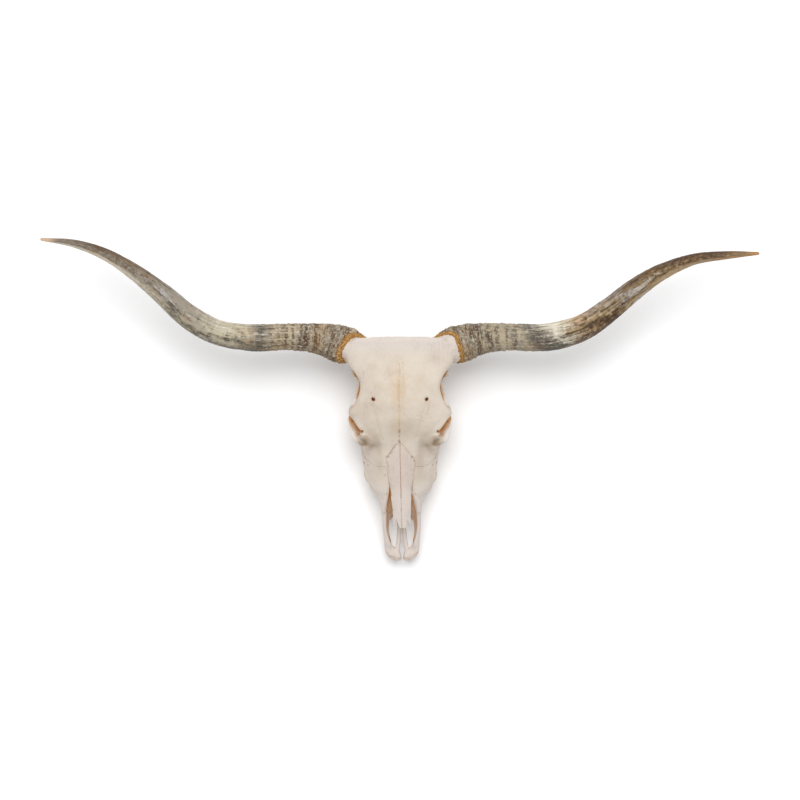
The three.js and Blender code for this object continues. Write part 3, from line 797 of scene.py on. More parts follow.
def facing_out(points, faces, block):
    """The faces turned outwards, and the outward direction at each point."""
    nudge = 0.6 * block.step
    slopes = []
    for axis in range(3):
        move = np.zeros(3)
        move[axis] = nudge
        slopes.append(block.sample(points + move) - block.sample(points - move))
    uphill = np.stack(slopes, 1)
    uphill /= np.linalg.norm(uphill, axis=1)[:, None] + 1e-9
    corner = points[faces]
    flow = np.cross(corner[:, 2] - corner[:, 0], corner[:, 3] - corner[:, 1])
    out = np.zeros_like(points)
    for k in range(4):
        np.add.at(out, faces[:, k], flow)
    out /= np.linalg.norm(out, axis=1)[:, None] + 1e-9
    if np.einsum("ij,ij->i", out, uphill).mean() < 0:
        return faces[:, ::-1], -out
    return faces, out


def hump(u, v, wide, long):
    """A smooth rise to 1 where both u and v are nought, falling off over wide and long."""
    return np.exp(-((u / wide) ** 2 + (v / long) ** 2))


# How far out the air is probed, in millimetres, and how much a closed place there counts.
AIR_PROBES = ((4, 0.25), (10, 0.35), (20, 0.45), (36, 0.45))


def slit_stain(points, out):
    """The brown within the nose slits, fading towards their lower ends and inwards."""
    x, y, z = points.T
    within = np.zeros(len(points))
    for side, sign in SIDES:
        within = np.maximum(within, np.clip(-plan_distance(x * sign, y, SLIT_OUTLINE[side]) / 1.5, 0, 1))
    below_rim = smooth_rows(SLIT_WALL, y)[:, 1] - z
    within *= ((out[:, 2] < 0.97) & (below_rim > -2)) | (below_rim > 5)
    stain = within * np.interp(y, [-330, -290, -262, -215], [0.5, 0.6, 0.76, 1.0])
    outward = np.clip((np.abs(x) - np.interp(-y, [190, 235, 255], [18, 24, 28])) / 7, 0, 1)
    return stain + within * (outward - 0.4) * 0.4


def stain_and_painted_shade_at(points, out, block):
    """How brown each point is, partly brown stain and partly painted shade: closed-in places, the hollows
    below the brow, and the nose slits.
    """
    x, y, z = points.T
    across = np.abs(x)
    shelter = np.zeros(len(points))
    for reach, weight in AIR_PROBES:
        shelter += weight * np.clip((reach - block.sample(points + out * reach)) / reach, 0, 1)
    past_roof = across - smooth_rows(ROOF, y)[:, 0]
    temple = np.clip(1.4 - past_roof / 7, 0, 1) * fade(y, -6, 6) * fade(-y, -78, -60) * 0.95
    eye = np.clip(1.5 - past_roof / 18, 0, 1) * fade(-y, 20, 36) * fade(y, -82, -72) * 0.95
    hollows = (temple + eye) * fade(-z, -167, -157) * (past_roof > -16)
    hollows *= fade(shelter, 0.08, 0.3) * fade(z, 92, 106)
    notch = hump(across - 86.5, y + 72, math.sqrt(20), math.sqrt(20)) * (z > 140)
    knob = 0.72 * hump(across - 105, y - 62, 7, 10) * fade(-z, -132, -120)
    # the slim rods' lower parts are kept free of brown stain and painted shade
    shelter *= 1 - rod_share(points)
    shelter *= 1 - 0.85 * fade(-y, 225, 245) * fade(across, 36, 37.5)
    for stain in (hollows, notch, knob, slit_stain(points, out)):
        shelter = np.maximum(shelter, stain)
    return shelter


def marked(points, placed, out):
    """The seams and pits at each point, and how deep they sink."""
    seam, pit, sink = np.zeros((3, len(points)))
    wobble = np.stack([grain(points, 5.0, seed) for seed in (11, 12, 13)], 1) * 1.4
    wavy = placed + wobble
    for view, corners, width, depth, strength in SEAMS:
        a, b, turned = facing(view, wavy, out)
        near = np.exp(-(off_line(a, b, corners) / width) ** 2) * turned
        seam = np.maximum(seam, near * strength)
        sink = np.maximum(sink, near * depth)
    for view, ca, cb, radius, depth, strength in PITS:
        a, b, turned = facing(view, placed, out)
        near = hump(a - ca, b - cb, radius, radius) * turned
        pit = np.maximum(pit, near * strength)
        sink = np.maximum(sink, near * depth)
    return seam, pit, sink


def bone_relief(points, wear):
    """Fine bumps of the bone in millimetres, rough at the ear openings and at the poll."""
    ear = fade(np.abs(points[:, 0]), 100, 120) * fade(points[:, 1], 66, 78)
    poll = fade(points[:, 1], 120, 140) * 0.5
    height = 0.55 * grain(points, 22.0, 1) + 0.3 * grain(points, 8.0, 2) + 0.14 * grain(points, 3.4, 3)
    return height * wear + (ear + poll) * (0.9 * grain(points, 4.6, 4) + 0.5 * grain(points, 9.0, 5))


def warm_places(x, y):
    """Where the bone is warmer than its ground colour (above nought) or paler (below)."""
    forehead = hump(x, y - 25, 62, 58)
    stripe = np.exp(-(x / 16) ** 2) * fade(y, -110, -70) * fade(-y, -110, -60)
    rims = hump(np.abs(x) - 98, y + 30, 26, 46) * 0.2
    pale = 0.8 * fade(y, 95, 130) + 0.75 * fade(-y, 185, 225)
    return forehead * 0.6 + stripe * 0.35 + rims - pale


def shaded_places(x, y, z):
    """Where the bone is darker than its ground colour (above nought) or lighter (below): painted shade on
    slopes and bands that face away from the light, painted light on the lower socket rims and an edge, and a
    darker tint in places.
    """
    across = np.abs(x)
    # painted shade, with some brown-grey tint, on the slope before each eye socket
    shade = 0.6 * hump(across - 64, y + 98, 20, 24) * fade(across, 38, 45)
    # painted shade on the knob before each socket and along its lower edge
    shade += 0.85 * hump(across - 82, y + 93, 11, 10.5) + 0.7 * hump(across - 86, y + 102, 10, 3.5)
    # painted shade in a band beside the nose, and a lighter cheek beside it
    shade += 0.25 * hump(across - 46, y + 140, 10, 40) - 0.25 * hump(across - 70, y + 142, 18, 24)
    # darker low on the forehead and at the poll
    shade += 0.5 * hump(x, y + 64, 42, 30) + 0.22 * fade(y, 95, 135)
    # darker at the front of the muzzle, with painted shade along the inner edge of each limb
    shade += 0.5 * fade(-y, 325, 355) + 0.3 * hump(across - 30, y + 334, 8, 16)
    # painted light on the lower rims of the eye sockets
    shade -= 0.9 * fade(across, 98, 106) * (z < 130) * (y < 20) * (y > -104)
    # painted highlight along the edge above each knob
    return shade - 0.9 * hump(across - 86, y + 78.5, 9, 2.4)


def bone_piece(name, node, points, faces, block, finish, wear=1.0):
    """A bone: fine relief, seams, pits and shelter on an extracted surface."""
    faces, out = facing_out(points, faces, block)
    placed = lean(points)
    seam, pit, sink = marked(points, placed, out)
    placed = placed + out * (bone_relief(points, wear) - sink)[:, None]
    placed[:, 2] = np.maximum(placed[:, 2], 0.0)
    x, y, z = placed.T
    piece = new_piece(name, placed * MM, faces)
    carry(piece, "seam", seam)
    carry(piece, "pit", pit)
    carry(piece, "shelter", stain_and_painted_shade_at(points, out, block))
    carry(piece, "warmth", warm_places(x, y))
    # the shade value: painted shade and painted light, with painted light on the slim rods
    carry(piece, "shade", shaded_places(x, y, z) - 0.8 * rod_share(points))
    dress(piece, finish, node)


def side_bone(name, node, side, block, finish, wear=1.0, around=None):
    """One of a pair of bones; around is the whole of the bone near it, where its own isn't enough."""
    points, faces = block.skin()
    if around is not None:
        block.field = around
    sign = dict(SIDES)[side]
    bone_piece(name + side, node + side, points * (sign, 1, 1), faces, block, finish, wear)


def dress(piece, finish, node):
    """Gives a piece its finish and its place in the object."""
    piece.data.materials.clear()
    piece.data.materials.append(finish)
    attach(piece, "root")
    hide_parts(node)


# ---------------------------------------------------------------- cranium and upper jaws
def make_cranium(finish):
    """The cranium, cut free of the jaws, the nasal bones and the sheaths."""
    block = Block((HEAD_STEP / 2, -182, -3), (152, 168, 200), HEAD_STEP)
    head(block)
    solid = block.field.copy()
    block.keep(lambda x, y, z: JAW_SEAM(x, y, z) + suture_wave(x, y, z) - 0.2, 0.4)
    parted = block.field.copy()
    halves = []
    for side in ("right", "left"):
        block.field = parted.copy()
        block.cut(nasal_bed(side), 0.4)
        block.cut(under_sheath(side), 0.8)
        halves.append(block.field)
    field = np.concatenate([halves[0][::-1], halves[1]])
    low = np.array([-block.axes[0][-1], block.low[1], block.low[2]])
    points, faces = skin_of(field, low, HEAD_STEP)
    block.field = solid
    bone_piece("cranium_bone", "cranium", points, faces, block, finish)


def make_jaws(finish):
    """The two upper jaws, with the outer walls of the nose."""
    block = Block((0.2, -292, -3), (104, -20, 170), JAW_STEP)
    head(block)
    solid = block.field.copy()
    block.add(bar([[30, -170, 96, 6], [31, -205, 92, 8], [30, -236, 86, 5]]), 3)
    block.cut(bar([[27, -160, 94, 4], [27, -205, 90, 5.6], [26, -242, 84, 4]]), 1.5)
    low, high, shelf = slit_shelf()
    block.add((low, high, lambda x, y, z: np.maximum(shelf(x, y, z), NOTCH(x, y, z) + 0.1)), 1)
    block.keep(lambda x, y, z: -JAW_SEAM(x, y, z) - suture_wave(x, y, z) - 0.2, 0.4)
    parted = block.field.copy()
    for side, _ in SIDES:
        block.field = parted.copy()
        block.cut(nasal_bed(side), 0.4)
        block.cut(nose_slit(side), 0.8)
        side_bone("maxilla_", "upper_jaw_", side, block, finish, around=solid)


# ---------------------------------------------------------------- nasal bones
NASAL = [
    [-101, 3, 166, 0.5], [-114, 13, 163, 2], [-133, 29, 158, 7], [-146, 33, 155, 9], [-164, 30, 150.5, 9],
    [-193, 27, 143, 9.5], [-225, 23.5, 134, 9], [-258, 20, 125, 8.5], [-300, 17, 113, 8],
]  # y, half width, height at the middle, drop at the edge
NASAL_THICK = 4.0
# Each nasal bone seen from above, from its tip at the forehead to its two prongs.
NASAL_OUTLINE = {
    "left": [
        (-4, -98), (1, -98), (6, -103), (14, -113), (27.5, -130), (35.3, -143), (33.5, -152), (31, -166),
        (27.8, -192), (24.5, -217), (22.5, -240), (21.5, -263), (21, -280), (20.5, -289), (19, -289.5),
        (16.5, -283), (14, -276.5), (13.2, -276.8), (12, -284), (10.2, -294), (8.8, -295.5), (3, -295.5),
        (0, -294.5), (-4, -294.5),
    ],
    "right": [
        (-4, -98), (1, -98), (8, -101), (14, -108), (22, -121), (31.3, -131.5), (30.5, -138),
        (27.5, -151), (28.7, -172), (26.5, -192), (24, -216), (21, -238), (19.4, -257), (19.2, -275),
        (19, -288), (17.5, -290), (15.3, -287), (12.4, -276), (11.2, -274), (9, -281), (5, -293),
        (3.6, -295.5), (0.8, -295.5), (-4, -294),
    ],
}
# The opening beside each nasal bone, seen from above.
SLIT_OUTLINE = {
    "left": [
        (23.6, -211), (27.2, -219), (31, -240), (34.5, -254), (36, -264), (36.5, -290), (34.3, -308),
        (29, -326), (22.5, -339), (17.5, -345), (14.8, -343), (12.4, -328), (10, -280), (15, -250),
    ],
    "right": [
        (26.2, -190), (27.6, -204), (29.6, -216), (33, -236), (35, -257), (36, -290), (34.3, -308),
        (29, -326), (22.5, -339), (17.5, -345), (14.8, -343), (12.4, -328), (10, -280), (15, -240),
    ],
}


def nasal_top(x, y):
    """The height of the nasal bones' upper face."""
    half, middle, drop = rows_at(NASAL, y)
    crease = 0.45 * np.exp(-((x - 1.0) / 3.0) ** 2)
    ridge = 0.8 * np.exp(-((x - 11.0) / 6.0) ** 2)
    return middle - drop * np.clip(x / half, 0, 1.2) ** 2 - crease + ridge


def nasal_bed(side):
    """The room that a nasal bone takes in the bones around it."""

    def distance(x, y, z):
        outline = plan_distance(x, y, NASAL_OUTLINE[side])
        return np.maximum(outline, nasal_top(x, y) - NASAL_THICK - z)

    return (0, -320, 96), (46, -94, 184), distance


# How the slit's outer wall falls: y, distance of its edge from the middle, height of its edge, steepness.
SLIT_WALL = [
    [-186, 24, 142, 1.0], [-213, 28, 134, 1.1], [-235, 32, 112, 1.3], [-255, 35, 96, 1.8],
    [-276, 35.6, 77, 2.6], [-302, 35.6, 64, 3.2], [-332, 31, 54, 3.2],
]


# How far in the slit's outer wall reaches: y, distance of its inner edge from the middle.
SHELF_EDGE = [[-186, 7], [-255, 7], [-270, 11], [-283, 18], [-292, 25], [-310, 30]]


def slit_shelf():
    """The thin scroll of bone that carries the slit's outer wall inwards."""

    def distance(x, y, z):
        edge, height, steep = rows_at(SLIT_WALL, y)
        inner, = rows_at(SHELF_EDGE, y)
        above = (z - height + 2 + steep * np.maximum(edge - x, 0)) / np.sqrt(1 + steep ** 2)
        sheet = np.maximum(np.maximum(above, -above - 3.5), 48 - z)
        return np.maximum(sheet, np.maximum(inner - x, x - edge - 3))

    return (4, -310, 46), (44, -190, 150), distance


def nose_slit(side):
    """The open slit beside a nasal bone, down to its sloping outer wall."""

    def distance(x, y, z):
        edge, height, steep = rows_at(SLIT_WALL, y)
        wall = height - 2 - steep * np.maximum(edge - x, 0)
        away = (wall - z) / np.sqrt(1 + steep ** 2)
        return np.maximum(plan_distance(x, y, SLIT_OUTLINE[side]), away)

    return (0, -348, 20), (46, -186, 170), distance


def make_nasals(finish):
    """The two nasal bones: bent plates with two prongs each."""
    for side, _ in SIDES:
        block = Block((-2, -302, 96), (40, -94, 176), NOSE_STEP)
        x, y, z = block.part(block.low, block.low + 1e4, 0)[1:]
        outline = np.maximum(plan_distance(x, y, NASAL_OUTLINE[side]) - 0.35, 0.02 - x)
        thick = NASAL_THICK * (1 - 0.35 * np.clip((-y - 240) / 50, 0, 1))
        top = nasal_top(x, y)
        block.field = larger(outline, np.maximum(z - top, top - thick - z), 0.45)
        side_bone("nasal_", "nasal_bone_", side, block, finish, wear=0.45)


# ---------------------------------------------------------------- incisive bones
LIMB = [
    [41, -206, 114, 4], [41.5, -230, 97, 6.5], [38.5, -255, 80, 8], [36.5, -276, 69, 8.5],
    [35.5, -302, 56, 8.5], [31.5, -332, 46, 8],
]
BLADE = [[31, -196, 128, 3], [33, -215, 119, 4], [37, -235, 106, 5], [39, -255, 90, 6]]
FLANGE = [[34, -255, 66, 4], [32, -270, 58, 4], [30, -290, 50, 4.5], [28.5, -315, 44, 5], [26, -336, 42, 7]]
PLATE = [
    [30, -330, 46, 8.5], [27.5, -346, 42, 12.5], [20, -358.5, 39, 12.5], [12.6, -363.5, 37, 10.2],
    [9.6, -366, 37, 8],
]
ROD = [
    [12.5, -356, 37, 7.5], [11.2, -345, 38, 6], [7.7, -324, 40, 5.7], [5.8, -300, 43, 5.3],
    [5.4, -266, 47, 4.6],
]


def make_incisives(finish):
    """The two incisive bones: a limb, a blade, a plate and a slim rod each."""
    block = Block((0.3, -382, 20), (58, -192, 136), NOSE_STEP)
    block.add(bar(PLATE), 0)
    block.keep(lambda x, y, z: np.abs(z - 38) - 10, 5)
    block.add(bar(LIMB), 6)
    block.add(bar(BLADE), 8)
    block.add(bar(FLANGE), 12)
    block.add(slit_shelf(), 1)
    block.add(bar(ROD), 5)
    block.cut(bar([[22, -349, 53, 7], [18, -338, 56, 9]], 2), 4)
    block.cut(bar([[14, -367, 56, 9], [24, -362, 58, 9]], 2), 3)
    block.keep(lambda x, y, z: 0.15 - NOTCH(x, y, z), 1)
    block.keep(lambda x, y, z: 0.45 - x, 0.5)  # a narrow gap parts the two incisive bones
    parted = block.field.copy()
    for side, _ in SIDES:
        block.field = parted.copy()
        block.cut(nose_slit(side), 0.8)
        side_bone("incisive_", "incisive_bone_", side, block, finish, wear=0.7)


# ---------------------------------------------------------------- horn sheaths
HORN_STEP = 0.0019
HORN_SIDES = 104
SHEATH_START = 74
# How far out, in millimetres from the middle, the sheath's worn rim lies, round from the underside by way of
# the muzzle side, the top and the poll side back to the underside, in twelfths of a turn.
RIM_OUT = {
    "left": [108, 116, 122, 127, 132, 134, 132, 123, 90, 74, 84, 98, 108],
    "right": [104, 112, 118, 122, 126, 130, 125, 109, 82, 74, 82, 95, 104],
}
RIM_REACH = 0.09


def sheath_line(rows):
    """The middle line of a sheath in metres with its radius, evenly spaced, and its run at each place."""
    rows = np.array(rows, float)
    run = np.concatenate([[0], np.cumsum(np.linalg.norm(np.diff(rows[:, :3], axis=0), axis=1))])
    places = np.linspace(0, run[-1], 220)
    line = smooth_rows(np.column_stack([run, rows]), places)
    end, last = line[-1], line[-1] - line[-2]
    last = last / np.linalg.norm(last[:3])
    rounding = ((0.5, 0.88), (0.85, 0.55), (1, 0.08))
    cap = [[*(end[:3] + last[:3] * end[3] * out), end[3] * wide] for out, wide in rounding]
    return np.vstack([line, cap]) * MM, places * MM


def vector(tree, x, y, z):
    """A vector from its three values."""
    return put(tree, "ShaderNodeCombineXYZ", {0: x, 1: y, 2: z})


def cross(tree, a, b):
    """A direction square to two others."""
    return put(tree, "ShaderNodeVectorMath", {0: a, 1: b}, operation="CROSS_PRODUCT")


def along_axis(tree, a, b):
    """How far one vector reaches along another."""
    return put(tree, "ShaderNodeVectorMath", {0: a, 1: b}, output=1, operation="DOT_PRODUCT")


def keep_value(tree, geometry, name, value, kind="FLOAT"):
    """Stores a value on the points under a name."""
    inputs = {"Geometry": geometry, "Name": name, "Value": value}
    return put(tree, "GeometryNodeStoreNamedAttribute", inputs, data_type=kind, domain="POINT")


def kept_value(tree, name, kind="FLOAT"):
    """A value that was stored under a name."""
    return put(tree, "GeometryNodeInputNamedAttribute", {"Name": name}, data_type=kind)


def new_shape_tree(name, inputs):
    """A geometry tree with named inputs, and its input and output nodes."""
    tree = bpy.data.node_groups.new(name, "GeometryNodeTree")
    tree.interface.new_socket(name="Geometry", in_out="INPUT", socket_type="NodeSocketGeometry")
    for label, kind in inputs:
        tree.interface.new_socket(name=label, in_out="INPUT", socket_type="NodeSocket" + kind)
    tree.interface.new_socket(name="Geometry", in_out="OUTPUT", socket_type="NodeSocketGeometry")
    source = tree.nodes.new("NodeGroupInput")
    given = {socket.name: Flow(tree, socket) for socket in source.outputs if socket.name}
    return tree, given, tree.nodes.new("NodeGroupOutput")


def finish_tree(tree, result, geometry, material):
    """Realizes what was made and gives it its material."""
    geometry = put(tree, "GeometryNodeRealizeInstances", {"Geometry": geometry})
    geometry = put(tree, "GeometryNodeSetShadeSmooth", {"Geometry": geometry})
    geometry = put(tree, "GeometryNodeSetMaterial", {"Geometry": geometry, "Material": material})
    tree.links.new(geometry.socket, result.inputs[0])


def sheath_tree(side, rim_out):
    """A horn sheath swept along its middle line: growth rings at the base, long fibres further out."""
    sizes = [
        ("Ring step", "Float"), ("Sides", "Int"), ("Ring depth", "Float"), ("Fibre depth", "Float"),
        ("Flake depth", "Float"), ("Swell depth", "Float"), ("Poll side", "Float"), ("Seed", "Float"),
        ("Material", "Material"),
    ]
    tree, given, result = new_shape_tree(side + " horn sheath", sizes)
    resample = {"Curve": given["Geometry"], "Length": given["Ring step"]}
    rail = put(tree, "GeometryNodeResampleCurve", resample, mode="LENGTH")
    length = put(tree, "GeometryNodeSplineParameter", output=1)
    rail = keep_value(tree, rail, "along", length)
    rail = keep_value(tree, rail, "middle", put(tree, "GeometryNodeInputPosition"), "FLOAT_VECTOR")
    rail = keep_value(tree, rail, "heading", put(tree, "GeometryNodeInputTangent"), "FLOAT_VECTOR")
    ring = put(tree, "GeometryNodeCurvePrimitiveCircle", {"Resolution": given["Sides"], "Radius": 1.0})
    thickness = put(tree, "GeometryNodeInputRadius")
    sweep = {"Curve": rail, "Profile Curve": ring, "Fill Caps": True, "Scale": thickness}
    skin = put(tree, "GeometryNodeCurveToMesh", sweep)
    middle = kept_value(tree, "middle", "FLOAT_VECTOR")
    heading = kept_value(tree, "heading", "FLOAT_VECTOR")
    along = kept_value(tree, "along")
    here = put(tree, "GeometryNodeInputPosition")
    out = put(tree, "ShaderNodeVectorMath", {0: here, 1: middle}, operation="SUBTRACT")
    level = put(tree, "ShaderNodeVectorMath", {0: cross(tree, (0, 0, 1), heading)}, operation="NORMALIZE")
    upright = cross(tree, heading, level)
    across = along_axis(tree, out, level) * given["Poll side"]
    top = along_axis(tree, out, upright)
    radius = put(tree, "ShaderNodeVectorMath", {0: out}, output=1, operation="LENGTH")
    shift = given["Seed"]
    straight = vector(tree, across + shift, top, along)
    turn = across.math("ARCTAN2", top) / (2 * math.pi) + 0.5
    rim_node = tree.nodes.new("ShaderNodeFloatCurve")
    line = rim_node.mapping.curves[0]
    line.points[0].location = (0, (rim_out[0] - SHEATH_START) * MM / RIM_REACH)
    line.points[1].location = (1, (rim_out[-1] - SHEATH_START) * MM / RIM_REACH)
    for k, reach in enumerate(rim_out[1:-1], 1):
        line.points.new(k / 12, (reach - SHEATH_START) * MM / RIM_REACH)
    rim_node.mapping.update()
    plug(tree, rim_node.inputs["Value"], turn)
    ragged = (noise(tree, straight, 95.0, 3.0, 0.7) - 0.5) * 0.012
    past_rim = along - Flow(tree, rim_node.outputs[0]) * RIM_REACH + ragged
    shown = past_rim.step(-0.0016, 0.0006)
    base = along.step(0.06, 0.36).inverse()
    warped = along + (noise(tree, straight, 26.0, 2.0) - 0.5) * 0.012
    rings = noise(tree, vector(tree, across * 0.12 + shift, top * 0.12, warped), 190.0, 3.0, 0.65)
    coarse_rings = noise(tree, vector(tree, shift, 0.0, warped), 70.0, 1.0)
    fibres = noise(tree, stretched(tree, straight, (1.0, 1.0, 0.07)), 125.0, 4.0, 0.7)
    flakes = noise(tree, stretched(tree, straight, (1.0, 1.0, 0.8)), 190.0, 3.0, 0.7).step(0.5, 0.6)
    swell = noise(tree, straight, 15.0, 2.0) - 0.5
    slim = (radius / 0.02).math("MINIMUM", 1.0)
    lip = (past_rim / 0.004).math("ABSOLUTE").inverse().math("MAXIMUM", 0.0)
    height = (rings - 0.5) * given["Ring depth"] * base
    height = height + (coarse_rings - 0.5) * given["Ring depth"] * base * 1.4
    height = height + (fibres - 0.5) * given["Fibre depth"] * (base * -0.7 + 1.0)
    height = height + (flakes - 0.6) * given["Flake depth"] * (base * 0.85 + 0.15)
    height = height * slim + swell * given["Swell depth"] * slim
    lift = height + lip * 0.0008 * shown - shown.inverse() * 0.0065
    push = put(tree, "ShaderNodeVectorMath", {0: out}, operation="NORMALIZE")
    offset = put(tree, "ShaderNodeVectorMath", {0: push, "Scale": lift}, operation="SCALE")
    skin = keep_value(tree, skin, "straight", straight, "FLOAT_VECTOR")
    skin = keep_value(tree, skin, "round", vector(tree, across / radius, top / radius, 0.0), "FLOAT_VECTOR")
    skin = keep_value(tree, skin, "past_rim", past_rim)
    skin = keep_value(tree, skin, "relief", (height - swell * given["Swell depth"] * slim) / 0.0012)
    skin = put(tree, "GeometryNodeSetPosition", {"Geometry": skin, "Offset": offset})
    finish_tree(tree, result, skin, given["Material"])
    return tree


def grow(piece, tree, values):
    """Runs a geometry tree on an object and gives back the plain mesh object that it makes."""
    change = piece.modifiers.new(tree.name, "NODES")
    change.node_group = tree
    sockets = {item.name: item.identifier for item in tree.interface.items_tree if item.in_out == "INPUT"}
    for label, value in values.items():
        change[sockets[label]] = value
    bpy.context.view_layer.update()
    evaluated = piece.evaluated_get(bpy.context.evaluated_depsgraph_get())
    mesh = bpy.data.meshes.new_from_object(evaluated)
    name = piece.name
    bpy.data.objects.remove(piece)
    made = bpy.data.objects.new(name, mesh)
    mesh.name = name
    bpy.context.scene.collection.objects.link(made)
    return made


def make_horn(side, sign, rows, finish, seed):
    """One horn sheath, swept along its middle line."""
    line, _ = sheath_line(SHEATH_ROOT + rows)
    curve = bpy.data.curves.new("sheath line", "CURVE")
    curve.dimensions = "3D"
    spline = curve.splines.new("POLY")
    spline.points.add(len(line) - 1)
    for point, (x, y, z, r) in zip(spline.points, line):
        point.co = (x * sign, y, z, 1)
        point.radius = r
    piece = bpy.data.objects.new("horn_sheath_" + side, curve)
    bpy.context.scene.collection.objects.link(piece)
    sizes = {
        "Ring step": HORN_STEP, "Sides": HORN_SIDES, "Ring depth": 0.0042, "Fibre depth": 0.0046,
        "Flake depth": 0.0022, "Swell depth": 0.0035, "Poll side": float(sign), "Seed": seed,
        "Material": finish,
    }
    piece = grow(piece, sheath_tree(side, RIM_OUT[side]), sizes)
    dress(piece, finish, "horn_" + side)


# The tones of weathered horn, from palest to darkest.
HORN_TONES = {
    "ivory": "e6e0ce", "mist": "d2d4d8", "cream": "dacfbc", "peach": "d8b292", "straw": "c8bea4",
    "wheat": "c2a67c", "sand": "b8aa90", "tan": "b59c7c", "honey": "c08c52", "stone": "a2998a",
    "khaki": "9f875f", "drab": "8e8475", "taupe": "7e7467", "umber": "7c6a55", "walnut": "775b3c",
    "slate": "535048", "bark": "5a4532", "soot": "483420",
}
# Zones along a sheath: millimetres out from the middle, tone, and for marks how much of it they cover.
HORN_ZONES = {
    "right": {
        "rows": HORN_RIGHT,
        "ground": [
            (127, "tan"), (160, "stone"), (190, "tan"), (222, "stone"), (245, "sand"), (295, "sand"),
            (318, "drab"), (350, "sand"), (405, "straw"), (480, "stone"), (560, "stone"), (640, "drab"),
            (780, "taupe"), (806, "peach"),
        ],
        "dark": [
            (127, "bark", 0.42), (190, "walnut", 0.36), (222, "bark", 0.52), (255, "walnut", 0.3),
            (322, "slate", 0.62), (350, "slate", 0.4), (430, "slate", 0.34), (500, "slate", 0.5),
            (600, "bark", 0.5), (720, "bark", 0.46), (812, "walnut", 0.2),
        ],
        "light": [
            (127, "cream", 0.5), (190, "straw", 0.4), (225, "cream", 0.45), (300, "cream", 0.36),
            (400, "ivory", 0.46), (500, "cream", 0.42), (548, "mist", 0.52), (620, "sand", 0.3),
            (812, "peach", 0.3),
        ],
        "poll edge": [
            (127, "stone", 0.3), (295, "sand", 0.3), (318, "taupe", 0.7), (336, "taupe", 0.6),
            (355, "sand", 0.4), (440, "stone", 0.4), (520, "drab", 0.6), (620, "umber", 0.8),
            (700, "bark", 0.9), (800, "drab", 0.5),
        ],
        "muzzle edge": [
            (127, "khaki", 0.3), (225, "drab", 0.5), (290, "khaki", 0.55), (340, "umber", 0.65),
            (430, "stone", 0.7), (480, "sand", 0.8), (540, "straw", 0.85), (600, "cream", 0.95),
            (740, "cream", 0.95), (812, "cream", 0.6),
        ],
    },
    "left": {
        "rows": HORN_LEFT,
        "ground": [
            (127, "tan"), (160, "stone"), (180, "sand"), (200, "stone"), (222, "sand"), (245, "sand"),
            (257, "stone"), (285, "sand"), (306, "drab"), (332, "drab"), (354, "stone"), (374, "sand"),
            (400, "khaki"), (560, "khaki"), (640, "walnut"), (762, "umber"), (800, "khaki"),
            (812, "honey"),
        ],
        "dark": [
            (127, "bark", 0.34), (200, "bark", 0.44), (226, "taupe", 0.26), (285, "taupe", 0.3),
            (305, "slate", 0.6), (328, "slate", 0.6), (366, "slate", 0.36), (388, "bark", 0.52),
            (440, "soot", 0.6), (500, "soot", 0.56), (740, "soot", 0.56), (812, "walnut", 0.3),
        ],
        "light": [
            (127, "cream", 0.5), (180, "straw", 0.42), (290, "straw", 0.38), (326, "cream", 0.42),
            (348, "ivory", 0.58), (366, "ivory", 0.74), (392, "ivory", 0.56), (430, "peach", 0.54),
            (480, "cream", 0.52), (520, "mist", 0.58), (552, "mist", 0.5), (600, "straw", 0.44),
            (700, "wheat", 0.42), (780, "honey", 0.4), (812, "honey", 0.3),
        ],
        "poll edge": [
            (127, "umber", 0.2), (296, "stone", 0.2), (312, "drab", 0.6), (328, "straw", 0.7),
            (385, "straw", 0.7), (415, "khaki", 0.6), (440, "umber", 0.75), (530, "walnut", 0.9),
            (640, "bark", 0.95), (740, "soot", 0.95), (800, "walnut", 0.6),
        ],
        "muzzle edge": [
            (127, "khaki", 0.3), (300, "drab", 0.4), (335, "umber", 0.7), (368, "umber", 0.7),
            (395, "walnut", 0.85), (440, "walnut", 0.7), (500, "khaki", 0.75), (600, "wheat", 0.88),
            (700, "tan", 0.8), (800, "honey", 0.7),
        ],
    },
}


